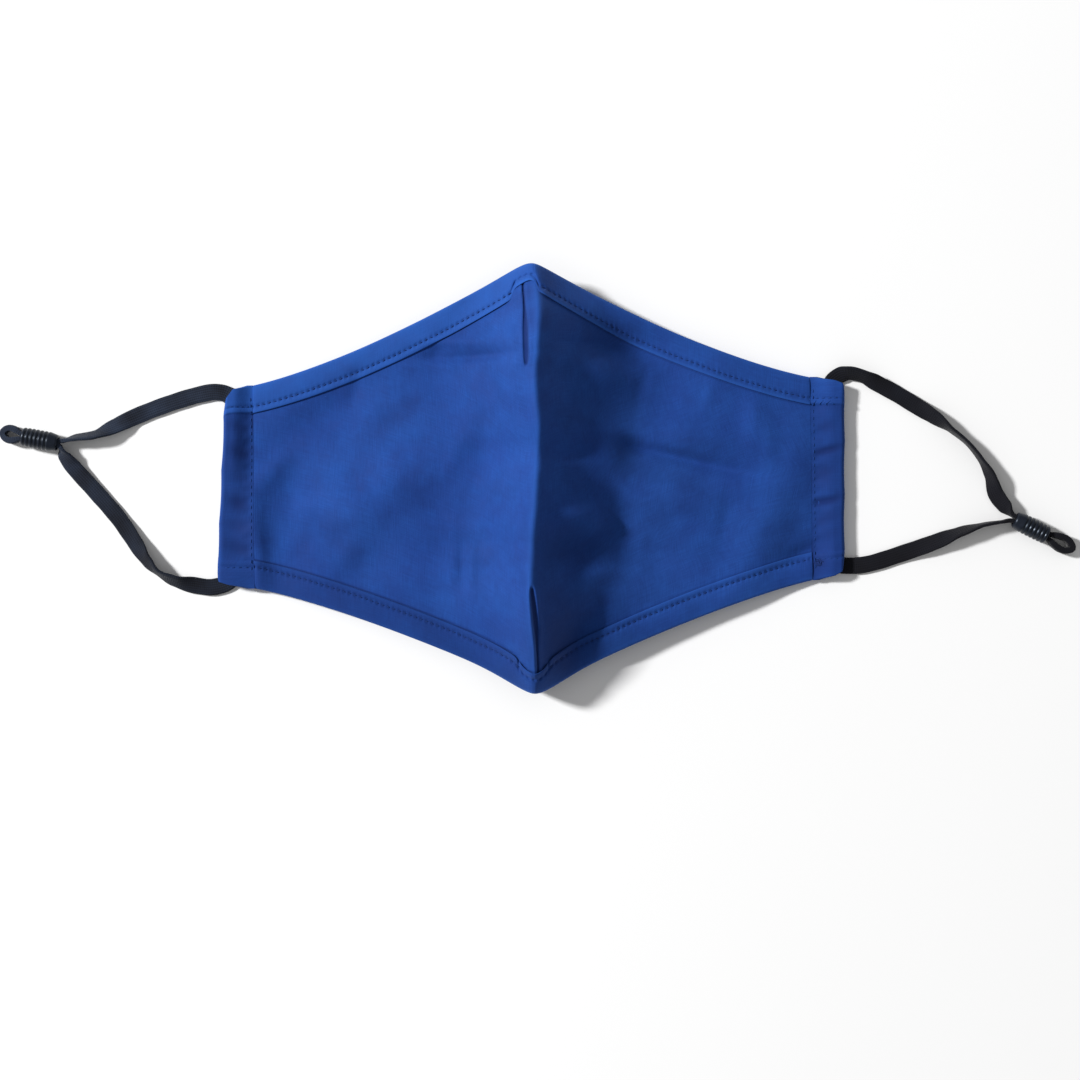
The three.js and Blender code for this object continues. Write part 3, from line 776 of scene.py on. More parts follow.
class Nodes:
    """Short calls for building one material's node tree."""

    def __init__(self, name):
        self.material = bpy.data.materials.new(name)
        self.material.use_nodes = True
        self.tree = self.material.node_tree
        self.shader = self.tree.nodes["Principled BSDF"]

    def add(self, kind, inputs=None, **settings):
        """A node with its settings, and its inputs as values or as links from other nodes' outputs."""
        node = self.tree.nodes.new(kind)
        for key, value in settings.items():
            setattr(node, key, value)
        for key, value in (inputs or {}).items():
            if isinstance(value, bpy.types.NodeSocket):
                self.tree.links.new(value, node.inputs[key])
            else:
                node.inputs[key].default_value = value
        return node

    def grain(self):
        """The UV map that follows the cloth's own grain."""
        return self.add("ShaderNodeUVMap", uv_map="cloth_grain").outputs[0]

    def place(self):
        """The place in the object's own space."""
        return self.add("ShaderNodeTexCoord").outputs["Object"]

    def stored(self, key):
        """A number that the mesh stores for each point."""
        return self.add("ShaderNodeAttribute", attribute_name=key).outputs["Fac"]

    def split(self, vector):
        """The first two parts of a vector."""
        parts = self.add("ShaderNodeSeparateXYZ", {0: vector}).outputs
        return parts[0], parts[1]

    def math(self, operation, a, b=0.0):
        """The output of a Math node."""
        return self.add("ShaderNodeMath", {0: a, 1: b}, operation=operation).outputs[0]

    def plus(self, a, b):
        """The sum of two numbers."""
        return self.math("ADD", a, b)

    def times(self, a, b):
        """The product of two numbers."""
        return self.math("MULTIPLY", a, b)

    def wave(self, value, pitch, shift=None):
        """A sine wave that repeats after each pitch, moved on by a shift where one is given."""
        phase = self.times(value, 2 * math.pi / pitch)
        return self.math("SINE", phase if shift is None else self.plus(phase, shift))

    def mix(self, factor, a, b):
        """The colour output of a Mix node."""
        return self.add("ShaderNodeMix", {0: factor, 6: a, 7: b}, data_type="RGBA").outputs[2]

    def noise(self, vector, scale, detail=3.0, roughness=0.5):
        """The number output of a noise texture."""
        settings = {"Vector": vector, "Scale": scale, "Detail": detail, "Roughness": roughness}
        return self.add("ShaderNodeTexNoise", settings).outputs["Fac"]

    def scaled(self, vector, scale):
        """A vector scaled by a triple."""
        return self.add("ShaderNodeMapping", {"Vector": vector, "Scale": scale}).outputs[0]

    def ramp(self, value, low, high, to_low=0.0, to_high=1.0):
        """A number moved from one range to another, held at its ends."""
        inputs = {"Value": value, "From Min": low, "From Max": high, "To Min": to_low, "To Max": to_high}
        return self.add("ShaderNodeMapRange", inputs).outputs[0]

    def bump(self, height, strength, distance, under=None):
        """The normal of a bump, laid over the normal under it where one is given."""
        inputs = {"Height": height, "Strength": strength, "Distance": distance}
        if under is not None:
            inputs["Normal"] = under
        return self.add("ShaderNodeBump", inputs).outputs[0]

    def set(self, **values):
        """Plain values on the shader's own sockets."""
        for key, value in values.items():
            self.shader.inputs[key.replace("_", " ")].default_value = value

    def link(self, socket, name):
        """Joins an output to one of the shader's inputs."""
        self.tree.links.new(socket, self.shader.inputs[name])


def opaque(rgb):
    """A linear colour with its alpha."""
    return (*rgb, 1.0)


def cotton_cloth(nodes, colours):
    """Royal blue cotton: a plain weave from two crossed waves on the cloth's own grain, uneven threads from
    stretched noise, soft mottling, worn edges with painted highlights, painted shade in folds, dents, slots
    and hollows, and a soft fuzz."""
    weave_pitch = 0.42 * MM
    two_threads = 2 * weave_pitch
    close = 2600
    drawn_out = 130
    grain = nodes.grain()
    place = nodes.place()
    along, across = nodes.split(grain)
    weave = nodes.times(nodes.wave(along, two_threads), nodes.wave(across, two_threads))
    warp_threads = nodes.noise(nodes.scaled(grain, (close, drawn_out, 1)), scale=1.0, detail=2.0)
    weft_threads = nodes.noise(nodes.scaled(grain, (drawn_out, close, 1)), scale=1.0, detail=2.0)
    threads = nodes.plus(warp_threads, weft_threads)
    mottle = nodes.noise(place, scale=105.0, detail=4.0, roughness=0.62)
    cloud = nodes.noise(place, scale=34.0, detail=2.0)
    dim = nodes.noise(place, scale=58.0, detail=3.0, roughness=0.55)
    fleck = nodes.noise(place, scale=900.0, detail=2.0, roughness=0.6)
    uneven = nodes.ramp(nodes.plus(mottle, cloud), low=0.78, high=1.22, to_high=0.55)
    base = nodes.mix(uneven, opaque(colours.cloth), opaque(colours.cloth_worn))
    base = nodes.mix(nodes.ramp(dim, low=0.46, high=0.72, to_high=0.4), base, opaque(colours.cloth_deep))
    base = nodes.mix(nodes.ramp(threads, low=0.7, high=1.3, to_high=0.34), base, opaque(colours.cloth_deep))
    base = nodes.mix(nodes.ramp(fleck, low=0.62, high=0.78, to_high=0.16), base, opaque(colours.cloth_worn))
    # Real wear together with painted highlights: the stored share brings in the paler cloth.
    rubbed_and_highlit = nodes.times(nodes.stored("worn"), nodes.ramp(mottle, low=0.3, high=0.7, to_low=0.55))
    base = nodes.mix(rubbed_and_highlit, base, opaque(colours.cloth_worn))
    # Painted shade: the stored share darkens the cloth where shade falls.
    base = nodes.mix(nodes.stored("deep"), base, opaque(colours.cloth_deep))
    nodes.link(base, "Base Color")
    nodes.link(nodes.ramp(mottle, low=0.3, high=0.7, to_low=0.78, to_high=0.92), "Roughness")
    weave_share = 0.14
    fleck_share = 0.5
    height = nodes.plus(nodes.times(weave, weave_share), threads)
    height = nodes.plus(height, nodes.times(fleck, fleck_share))
    woven = nodes.bump(height, strength=0.42, distance=0.12 * MM)
    slub = nodes.noise(nodes.scaled(place, (1.0, 0.55, 1.0)), scale=260.0, detail=3.0, roughness=0.6)
    nodes.link(nodes.bump(slub, strength=0.22, distance=0.6 * MM, under=woven), "Normal")
    nodes.set(Specular_IOR_Level=0.18, Sheen_Weight=0.2, Sheen_Roughness=0.45, Sheen_Tint=BLUE_SHEEN)


def sewing_thread(nodes, colours):
    """Blue sewing thread: a two-ply twist from slanted waves along the stitch, a little glossier than the
    cloth, and darkened with painted shade by each thread's stored share."""
    twist_pitch = 0.7 * MM
    full_turn = 2 * math.pi
    # Painted shade on the thread: a darker cloth colour.
    shaded_thread = opaque([0.8 * part for part in colours.cloth_deep])
    along, around = nodes.split(nodes.grain())
    twist = nodes.wave(along, twist_pitch, shift=nodes.times(around, full_turn))
    base = nodes.mix(nodes.ramp(twist, -1, 1), opaque(colours.cloth), opaque(colours.cloth_worn))
    nodes.link(nodes.mix(nodes.stored("deep"), base, shaded_thread), "Base Color")
    nodes.link(nodes.bump(twist, strength=0.5, distance=0.06 * MM), "Normal")
    nodes.set(Roughness=0.6, Specular_IOR_Level=0.15, Sheen_Weight=0.1, Sheen_Tint=BLUE_SHEEN)


def knitted_elastic(nodes, colours):
    """Black knitted elastic: fine ribs along the band, cross rows of knitting between them, and lint."""
    rib_pitch = 0.85 * MM
    knit_pitch = 0.75 * MM
    knit_bend = 1.1
    place = nodes.place()
    along, around = nodes.split(nodes.grain())
    rib = nodes.wave(around, rib_pitch)
    knit = nodes.wave(along, knit_pitch, shift=nodes.times(rib, knit_bend))
    lint = nodes.noise(place, scale=1400.0, detail=3.0, roughness=0.65)
    wide = nodes.noise(place, scale=120.0, detail=2.0)
    relief = nodes.plus(nodes.times(rib, 0.5), nodes.times(knit, 0.35))
    tone = nodes.plus(nodes.times(relief, 0.45), nodes.times(wide, 1.8))
    raised = nodes.times(nodes.ramp(tone, low=0.2, high=1.7, to_high=0.9), nodes.stored("worn"))
    base = nodes.mix(raised, opaque(colours.elastic), opaque(colours.elastic_light))
    base = nodes.mix(nodes.ramp(lint, low=0.66, high=0.8, to_high=0.35), base, opaque(colours.lint))
    nodes.link(base, "Base Color")
    height = nodes.plus(relief, nodes.times(lint, 0.8))
    nodes.link(nodes.bump(height, strength=0.55, distance=0.18 * MM), "Normal")
    nodes.set(Roughness=0.88, Specular_IOR_Level=0.16, Sheen_Weight=0.08, Sheen_Roughness=0.4)


def soft_rubber(nodes, colours):
    """Black soft rubber: a satin gloss, faint moulding grain and rubbed rib crests."""
    place = nodes.place()
    grain = nodes.noise(place, scale=2200.0, detail=2.0)
    smear = nodes.noise(place, scale=380.0, detail=3.0, roughness=0.6)
    rubbed_and_highlit = nodes.times(nodes.stored("worn"), smear)
    nodes.link(nodes.mix(rubbed_and_highlit, opaque(colours.lock), opaque(colours.lock_worn)), "Base Color")
    nodes.link(nodes.ramp(smear, low=0.3, high=0.7, to_low=0.27, to_high=0.41), "Roughness")
    nodes.link(nodes.bump(grain, strength=0.2, distance=0.05 * MM), "Normal")
    nodes.set(Specular_IOR_Level=0.3, Specular_Tint=(0.72, 0.84, 1.0, 1.0))


def pale_table(nodes, colours):
    """Plain pale table top with a faint unevenness."""
    tone = nodes.noise(nodes.place(), scale=3.0, detail=2.0)
    shaded = opaque([0.985 * part for part in colours.table])
    nodes.link(nodes.mix(tone, opaque(colours.table), shaded), "Base Color")
    nodes.set(Roughness=0.9, Specular_IOR_Level=0.1)


FINISHES = {
    "cotton_cloth": cotton_cloth,
    "sewing_thread": sewing_thread,
    "knitted_elastic": knitted_elastic,
    "soft_rubber": soft_rubber,
    "pale_table": pale_table,
}


def material(key):
    """One of the finishes, made on first use."""
    found = bpy.data.materials.get(key)
    if found is None:
        nodes = Nodes(key)
        FINISHES[key](nodes, bpy.context.scene.mask_colours)
        found = nodes.material
    return found


def dart_shape(sizes, x, y):
    """Height change and painted shade of both darts: along each, a groove that is a thin line at the hem and
    opens towards its tip, where it closes as a quarter circle, with a raised rounded lip on either side. The
    groove is darkened with painted shade. The slot's starts and ends are shares of its way, its widths shares
    of the dart width."""
    narrow = 0.3
    round_tip = 0.2
    thin_half = 0.08
    open_half = 0.46
    bow = 0.35
    depth = 0.95
    height = np.zeros(np.broadcast(x, y).shape)
    dark = np.zeros_like(height)
    for edge in EDGES.values():
        start = reach_of(sizes, edge) - sizes.hem_width + edge["notch"][0] * MM
        way = (start - y * edge["side"]) / (DART_SLOT_SHARE * sizes.dart_length)
        on_slot = np.clip(way, 0, 1)
        inside = smooth_step(-0.06, 0.02, way) * (1 - smooth_step(0.96, 1.0, way))
        opening = narrow + (1 - narrow) * smooth_step(0.25, 0.62, way)
        opening = opening * np.sqrt(1 - np.clip((way - 1 + round_tip) / round_tip, 0, 1) ** 2)
        half = (thin_half + open_half * opening) * sizes.dart_width
        at_hem, at_tip = edge["dart"]
        middle = (at_hem + (at_tip - at_hem) * on_slot + bow * np.sin(np.pi * on_slot)) * MM
        groove = np.exp(-(((x - middle) / half) ** 4))
        relief = -depth * groove
        for lip in rows_of(DART_LIPS, DART_LIP_COLUMNS):
            place = middle + lip["way"] * (lip["from_slot"] * half + lip["out"] * MM)
            relief = relief + lip["rise"] * hill(x, place, lip["spread"] * MM)
        height += inside * relief * MM
        # Painted shade in the dart's slot.
        dark = np.maximum(dark, inside * groove)
    return height, dark


def left_to_right(pair, x):
    """A pair of numbers, left and right, joined by a smooth step across the crease."""
    left, right = pair
    return left + (right - left) * smooth_step(-CREASE_BLEND, CREASE_BLEND, x)


def hollow_shade(x, y):
    """Painted shade on the cloth in the hollows: for each a bell curve along X times one along Y."""
    shade = 0
    for hollow in rows_of(HOLLOWS, HOLLOW_COLUMNS):
        over_x = hill(x, hollow["x"] * MM, hollow["across"] * MM)
        over_y = hill(y, hollow["y"] * MM, hollow["along"] * MM)
        shade = shade + hollow["dark"] * over_x * over_y
    return shade


def lip_shade(sizes, x, y):
    """Painted shade on the panel right beside a hem's lip, where the layers meet."""
    from_lip = 0.25 * MM
    spread = 0.36 * MM
    lost_at_flank = 0.8
    shade = np.zeros(np.broadcast(x, y).shape)
    for edge in EDGES.values():
        inward = (edge_reach(sizes, x, edge) - y * edge["side"]) / edge_stretch(sizes, x, edge)
        beside = hill(inward, hem_width_at(sizes, x, edge) + from_lip, spread)
        beside = beside * (1 - lost_at_flank * notch_flank(x, edge))
        shade = np.maximum(shade, left_to_right(edge["shaded"], x) * beside)
    return shade


class MASK_OT_face_panel(bpy.types.Operator):
    """The outer cloth and its lining as one wall: the face height over a grid of shares, moved back along its
    normals for the inner side, with the darts pressed into the outer side."""

    bl_idname = "mask.face_panel"
    bl_label = "Face panel"

    def execute(self, context):
        sizes = context.scene.mask_sizes
        half = panel_half(sizes)
        x = crowded(-half, half, count=221, middle=0, spread=6 * MM, crowd=4.5)[:, None]
        rim = 0.12 * MM
        x[[1, -2], 0] = [-half + rim, half - rim]
        ends = {}
        for name, edge in EDGES.items():
            tuck = (sizes.hem_wall + sizes.fit_gap) * edge_stretch(sizes, x, edge)
            ends[name] = edge["side"] * (edge_reach(sizes, x, edge) - tuck)
        share_up = np.linspace(0, 1, 222)[None, :]
        y = ends["chin"] + (ends["nose"] - ends["chin"]) * share_up
        x = np.broadcast_to(x, y.shape)
        smooth_face = np.stack([x, y, face_height(sizes, x, y)], axis=-1)
        normal = unit(np.cross(np.gradient(smooth_face, axis=0), np.gradient(smooth_face, axis=1)))
        back = smooth_face - normal * sizes.panel_wall
        back[..., 0] = np.clip(back[..., 0], -half, half)
        back[..., 2] = np.maximum(back[..., 2], TABLE_CLEARANCE)
        dart, dark = dart_shape(sizes, x, y)
        seam = SEAM_DIP * hill(np.abs(x), half, 0.9 * MM)
        front = smooth_face.copy()
        front[..., 2] += dart - seam
        points, faces = shell_mesh(front, back)
        uv = np.stack([run_lengths(smooth_face, 0), run_lengths(smooth_face, 1)], axis=-1).reshape(-1, 2)
        # Painted highlight along the crease, partly wear; painted shade in the dart slots, beside the hems'
        # lips and in the hollows.
        crest = 0.6 * hill(x, crease_place(y), 1.4 * MM)
        deep = np.maximum(np.maximum(dark, lip_shade(sizes, x, y)), hollow_shade(x, y))
        values = outside_only(worn=crest, deep=deep)
        panel = put_mesh("face_cloth", points, faces, material("cotton_cloth"), np.tile(uv, (2, 1)), values)
        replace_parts(panel, "face_panel")
        return {"FINISHED"}


def strip_outline(path, half, cap_steps=5):
    """Closed outline of a strip whose middle line is path, an array of stations by points by two: the middle
    line moved out by half along its normals, a half circle, the line moved in, and a half circle back."""
    forward = unit(np.gradient(path, axis=1))
    normal = np.stack([-forward[..., 1], forward[..., 0]], axis=-1)
    outer = path + normal * half
    inner = path - normal * half
    angle = np.linspace(0, np.pi, cap_steps + 2)[1:-1][None, :, None]

    def cap(end, way):
        point, side, ahead = (line[:, [end]] for line in (path, normal, forward))
        return point + half * way * (np.cos(angle) * side + np.sin(angle) * ahead)

    return np.concatenate([outer, cap(-1, 1), inner[:, ::-1], cap(0, -1)], axis=1)


def hem_width_at(sizes, x, edge):
    """Face-side width of a hem at x: the full width, less a flat-topped narrowing over the dart."""
    depth, middle, half, power = edge["notch"]
    return sizes.hem_width - depth * MM * np.exp(-(np.abs((x / MM - middle) / half) ** power))


def notch_flank(x, edge):
    """Bell curves over both flanks of a hem's narrowing, where its lip is sewn flush."""
    _, middle, half, _ = edge["notch"]
    return hill(np.abs(x / MM - middle), half, edge["flush"])


def stitch_inset(sizes, x, edge):
    """Distance of the stitch row from the fold: a little outside the lip."""
    return hem_width_at(sizes, x, edge) - STITCH_FROM_LIP


def hem_point(sizes, x, edge, inward, depth):
    """A place on a hem: inward from the fold, taken along Y, and depth above the panel's outer face."""
    y = edge["side"] * (edge_reach(sizes, x, edge) - inward * edge_stretch(sizes, x, edge))
    z = face_height(sizes, x, y) + depth * slant_at(sizes, x, y)
    return np.stack(np.broadcast_arrays(x, y, z), axis=-1)


def edge_run(sizes, x, edge):
    """Length run along an edge at each x, seen from above."""
    y = edge_reach(sizes, x, edge)
    return np.concatenate([[0], np.cumsum(np.hypot(np.diff(x), np.diff(y)))])


def stitch_rhythm(sizes, run):
    """Along a row of stitches, a slow unevenness, and how hard the thread pulls: most at each stitch."""
    slow = wave(run, 4.7) + wave(run, 2.9, 1.0)
    uneven = 0.8 + 0.2 * wave(run, 1.7) + 0.16 * wave(run, 0.83, 2)
    return slow, np.cos(2 * np.pi * run / sizes.stitch_pitch) * uneven


def hem_front(sizes, edge, x, run, start, width):
    """Middle line of a hem's face side at each x, from the lip to the fold, as its distance inward and its
    relief: a swelling between fold and stitches, less a dip at the stitches with a pucker at each, plus the
    raised lip, less the ends that are drawn in and the flanks that are sewn flush."""
    puff_height = 0.26 * MM
    puff_change = 0.22
    dip_depth = 0.26 * MM
    pull_depth = 0.2 * MM
    lip_height = 0.1 * MM
    lip_inset = 0.5 * MM
    end_depth = 0.16 * MM
    under_face = 0.04 * MM
    near_lip = 0.45
    crowded_from = 0.3
    way = np.concatenate([np.linspace(1, crowded_from, 15), np.linspace(crowded_from, 0, 8)[1:]])[None, :]
    inward = start + (width - start) * way
    inset = stitch_inset(sizes, x, edge)
    slow, pull = stitch_rhythm(sizes, run)
    puff = puff_height * np.clip(np.sin(np.pi * np.clip(inward / inset, 0, 1)), 0, 1)
    puff = puff * (1 + puff_change * slow)
    dip = (dip_depth + pull_depth * pull) * hill(inward, inset, 0.6 * MM)
    lip = lip_height * hill(inward, width - lip_inset, 0.8 * MM)
    end_dip = end_depth * hill(np.abs(x), panel_half(sizes), 1.0 * MM)
    flush = (sizes.hem_wall + under_face) * notch_flank(x, edge) * smooth_step(near_lip, 1, way)
    return inward, puff - dip + lip - end_dip - flush


def hem(sizes, name, edge):
    """A strip folded over an edge: its middle line runs along the face, round the fold as a half ellipse and
    along the back, and the outline round that line is carried along the edge. The strip is worn at its fold,
    worn and lit by a painted highlight at its lip, lightened by its edge's painted light and darkened by its
    painted shade, and darkened by painted shade at each stitch and in the hollows."""
    half_span = panel_half(sizes)
    x = crowded(-half_span, half_span, count=600, middle=0, spread=7 * MM, crowd=3)
    run = edge_run(sizes, x, edge)[:, None]
    x = x[:, None]
    half = sizes.hem_wall / 2
    front_depth = sizes.fit_gap + half
    back_depth = -sizes.panel_wall - sizes.fit_gap - half
    middle_depth = (front_depth + back_depth) / 2
    radius = (front_depth - back_depth) / 2
    fold_reach = radius / 2
    width = hem_width_at(sizes, x, edge) - half
    front_inward, relief = hem_front(sizes, edge, x, run, half + fold_reach, width)
    front = np.stack([front_inward, front_depth + relief], axis=-1)
    angle = np.linspace(0.5 * np.pi, 1.5 * np.pi, 12)[1:-1]
    fold_inward = half + fold_reach * (1 + np.cos(angle))
    back_inward = np.linspace(half + fold_reach, sizes.hem_back_width - half, 12)
    fold = np.stack([fold_inward, middle_depth + radius * np.sin(angle)], axis=-1)
    back = np.stack([back_inward, np.full_like(back_inward, back_depth)], axis=-1)
    unseen = np.concatenate([fold, back])
    unseen = np.broadcast_to(unseen, (len(x), *unseen.shape))
    outline = strip_outline(np.concatenate([front, unseen], axis=1), half)
    inward = outline[..., 0]
    depth = outline[..., 1]
    grid = hem_point(sizes, x, edge, inward, depth)
    grid[..., 2] = (grid[..., 2] + np.hypot(grid[..., 2], FLOOR_GAP)) / 2
    uv = np.stack([np.broadcast_to(run, inward.shape), run_lengths(outline, 1)], axis=-1)
    # The fold is worn; the lip is worn and has a painted highlight; the edge's pair paints light on the hem
    # above zero and shade below zero.
    fold_wear = 0.65 * hill(inward, 0, 1.0 * MM) * (depth > middle_depth)
    lip_wear_and_highlight = edge["lip_wear_and_highlight"] * hill(inward, width, 0.6 * MM) * (depth > front_depth)
    painted_light_and_shade = left_to_right(edge["painted_light_and_shade"], x)
    # Painted shade in the needle holes of the stitch row, darkest at each stitch.
    slow, pull = stitch_rhythm(sizes, run)
    stitch_dark = 0.2 + 0.8 * smooth_step(-0.1, 0.9, pull)
    hole_place = stitch_inset(sizes, x, edge) + 0.1 * MM * slow
    hole = stitch_dark * hill(inward, hole_place, 0.42 * MM) * (depth > front_depth)
    # One share for wear and painted highlights, one for painted shade: in the holes, on the darkened hem and
    # in the hollows.
    worn = np.clip(fold_wear + lip_wear_and_highlight + np.clip(painted_light_and_shade, 0, 1), 0, 1)
    deep = np.clip(hole - np.clip(painted_light_and_shade, -1, 0) + hollow_shade(grid[..., 0], grid[..., 1]), 0, 1)
    values = {"worn": worn.ravel(), "deep": deep.ravel()}
    faces = tube_faces(*grid.shape[:2])
    return put_mesh(
        f"{name}_hem", grid.reshape(-1, 3), faces, material("cotton_cloth"), uv.reshape(-1, 2), values
    )


def tube_faces(stations, ring):
    """Faces of a tube through closed rings, its ends closed by strips that join the first half of the end
    ring to its second half, as the outline of a strip or a thread allows."""
    i = np.arange(ring // 2 - 1)
    cap = np.stack([i, i + 1, ring - 2 - i, ring - 1 - i], axis=1)
    sides = grid_faces(stations, ring, closed_along=True)
    return np.concatenate([sides, cap, cap[:, ::-1] + (stations - 1) * ring])


class MASK_OT_edge_hems(bpy.types.Operator):
    """The strips folded over the nose and chin edges."""

    bl_idname = "mask.edge_hems"
    bl_label = "Edge hems"

    def execute(self, context):
        sizes = context.scene.mask_sizes
        for name, edge in EDGES.items():
            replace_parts(hem(sizes, name, edge), f"{name}_binding")
        return {"FINISHED"}


def tunnel_width_of(sizes):
    """Width of the tunnel in a side channel."""
    return sizes.channel_width - PINCH - sizes.channel_wall


def lip_at_side(sizes, y):
    """How far from the middle, along Y, a hem's lip meets the side channels: the nose hem's above, the chin's
    below."""
    half = panel_half(sizes)
    nose, chin = (
        edge_reach(sizes, half, edge) - sizes.hem_width * edge_stretch(sizes, half, edge)
        for edge in EDGES.values()
    )
    return np.where(y > 0, nose, chin)


def pucker_depth(side, u, y):
    """Depth of a side channel's dents: the pucker table's slanted bell curves, added up."""
    slant = 0.18
    slant_from = 4 * MM
    middle_across = 5.2 * MM
    flat_beside_seam = 2.4 * MM
    depth = np.zeros(np.broadcast(u, y).shape)
    for dent in rows_of(side["puckers"], PUCKER_COLUMNS):
        slanted = y - dent["y"] * MM - slant * (u - slant_from)
        over_u = hill(u, middle_across, dent["across"] * MM)
        depth += dent["dip"] * MM * hill(slanted, 0, dent["along"] * MM) * over_u
    return depth * smooth_step(0, flat_beside_seam, u)


def channel_top(sizes, side, u, y):
    """Top of a side channel at u from the seam and y: it starts at the panel's height, dips at the stitches,
    rises over the tunnel, is a step higher where the hems cross its ends, and has the pucker table's dents
    and fine gathers beside the seam."""
    step_half = 0.15 * MM
    over_hem = 0.42 * MM
    rise_width = 8.2 * MM
    cross_dip = 0.3 * MM
    cross_place = 2 * MM
    gather_height = 0.12 * MM
    gather_place = 1.8 * MM
    lip_line = lip_at_side(sizes, y)
    step = smooth_step(lip_line - step_half, lip_line + step_half, np.abs(y))
    at_seam = face_height(sizes, side["sign"] * panel_half(sizes), y) - SEAM_DIP
    at_seam = at_seam + (sizes.hem_wall + sizes.fit_gap) * step
    over_tunnel = sizes.channel_height + over_hem * step
    top = at_seam + (over_tunnel - at_seam) * smooth_step(0, rise_width, u)
    top = top - cross_dip * hill(np.abs(y), lip_line + cross_place, 0.6 * MM)
    top = top - pucker_depth(side, u, y)
    gathers = np.sin(2 * np.pi * y / (2 * sizes.stitch_pitch) + 0.8 * wave(y, 5))
    return top + gather_height * gathers * hill(u, gather_place, 1.6 * MM) * (1 - step)


def channel_ring(sizes, side, y):
    """Outer ring of a side channel at each y: along the table, round the outer fold as an ellipse, back over
    the top and down at the stitch line. Points are (u, z), u counted from the stitch line."""
    low_count = 15
    top_count = 34
    width = sizes.channel_width
    fold = 1.7 * MM
    low = np.linspace(0, width - fold, low_count + 1)[:-1]
    angle = np.linspace(-0.5 * np.pi, 0.5 * np.pi, 15)[:-1]
    over = crowded(0, width - fold, top_count, middle=0, spread=1.2 * MM, crowd=3)[::-1]
    down = np.linspace(1, 0, 5)[1:-1]
    u = np.concatenate([low, width - fold + fold * np.cos(angle), over, np.zeros(len(down))])
    u = np.broadcast_to(u, (len(y), len(u)))
    rise = np.concatenate([np.zeros(low_count), 0.5 * (1 + np.sin(angle)), np.ones(top_count), down])
    top = channel_top(sizes, side, u, np.broadcast_to(y, u.shape))
    return u, top * rise, np.broadcast_to(rise, u.shape)


def side_channel(sizes, name, side):
    """A flat tube of cloth: the outer ring and a smaller copy of it as the tunnel, carried along Y, joined at
    both ends. The back layer and the outer fold end short of the front layer, which leaves a mouth for the
    elastic."""
    stations = 210
    end_power = 6
    corner_width = 4.5 * MM
    sway_by = 0.3 * MM
    hem_step = 0.3 * MM
    share_along = np.linspace(-1, 1, stations)[:, None]
    y = share_along * sizes.side_half
    u, z, rise = channel_ring(sizes, side, y)
    tunnel = sizes.channel_height - 2 * sizes.channel_wall
    inner_u = PINCH + u * tunnel_width_of(sizes) / sizes.channel_width
    inner_z = sizes.channel_wall + z * tunnel / sizes.channel_height
    near_back = 1 - smooth_step(0.62, 0.98, rise)
    open_part = smooth_step(PINCH - 0.6 * MM, PINCH + 0.8 * MM, u)
    cut = sizes.mouth_depth * near_back * open_part
    at_top = share_along > 0
    corner = np.where(at_top, side["top_corner"], side["bottom_corner"]) * MM
    cut = cut + corner * smooth_step(sizes.channel_width - corner_width, sizes.channel_width, u)
    inner = sizes.half_width - sizes.channel_width
    nose, chin = (edge_reach(sizes, inner + u, edge) for edge in EDGES.values())
    longer = np.where(at_top, nose, chin) - sizes.side_half
    near_end = np.abs(share_along) ** end_power
    bent = share_along * (sizes.side_half + (longer - cut) * near_end)
    sway = sway_by * wave(bent, 6.1, side["sign"]) * (u / sizes.channel_width) ** 2
    lean = side["lean"] * MM * bent / sizes.side_half / sizes.channel_width
    outer_x = side["sign"] * (inner + u - np.abs(sway)) + lean * u
    outer_grid = np.stack([outer_x, bent, z], axis=-1)
    inner_grid = np.stack([side["sign"] * (inner + inner_u) + lean * inner_u, bent, inner_z], axis=-1)
    count = u.shape[1]
    skin = grid_faces(stations, count, closed_along=True)
    lining = skin[:, ::-1] + stations * count
    j = np.arange(count)
    k = (j + 1) % count
    first = np.stack([j, k, k + stations * count, j + stations * count], axis=1)
    last = first[:, ::-1] + (stations - 1) * count
    faces = np.concatenate([skin, lining, first, last])
    points = np.concatenate([outer_grid.reshape(-1, 3), inner_grid.reshape(-1, 3)])
    uv = np.stack([run_lengths(outer_grid, 1), bent], axis=-1).reshape(-1, 2)
    # Wear at the outer fold and the ends, and the nose hem's painted highlight carried over the channel's
    # top.
    at_nose_hem = smooth_step(-hem_step, hem_step, y - lip_at_side(sizes, y))
    painted_light_and_shade = max(0, left_to_right(EDGES["nose"]["painted_light_and_shade"], side["sign"] * sizes.half_width))
    fold_wear = 0.55 * hill(u, sizes.channel_width, 0.9 * MM)
    end_wear = 0.4 * hill(np.abs(y), sizes.side_half, 1.0 * MM)
    worn = np.clip(fold_wear + end_wear + painted_light_and_shade * at_nose_hem, 0, 1)
    # Painted shade: a short dash at the seam, the side's own shade except under the nose hem, the hollows and
    # the puckers' dents.
    seam_shade = 0.75 * hill(y, side["seam_shade"] * MM, 4 * MM) * hill(u, 0, 0.6 * MM)
    shade = side["shade"] * (1 - at_nose_hem) + hollow_shade(outer_grid[..., 0], outer_grid[..., 1])
    deep = np.clip(seam_shade + shade + 0.8 * pucker_depth(side, u, y) / MM, 0, 1)
    values = outside_only(worn=worn, deep=deep)
    made = put_mesh(f"{name}_channel", points, faces, material("cotton_cloth"), np.tile(uv, (2, 1)), values)
    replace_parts(made, f"side_channel_{name}")


class MASK_OT_side_channels(bpy.types.Operator):
    """The side channels that hold the elastic."""

    bl_idname = "mask.side_channels"
    bl_label = "Side channels"

    def execute(self, context):
        for name, side in SIDES.items():
            side_channel(context.scene.mask_sizes, name, side)
        return {"FINISHED"}


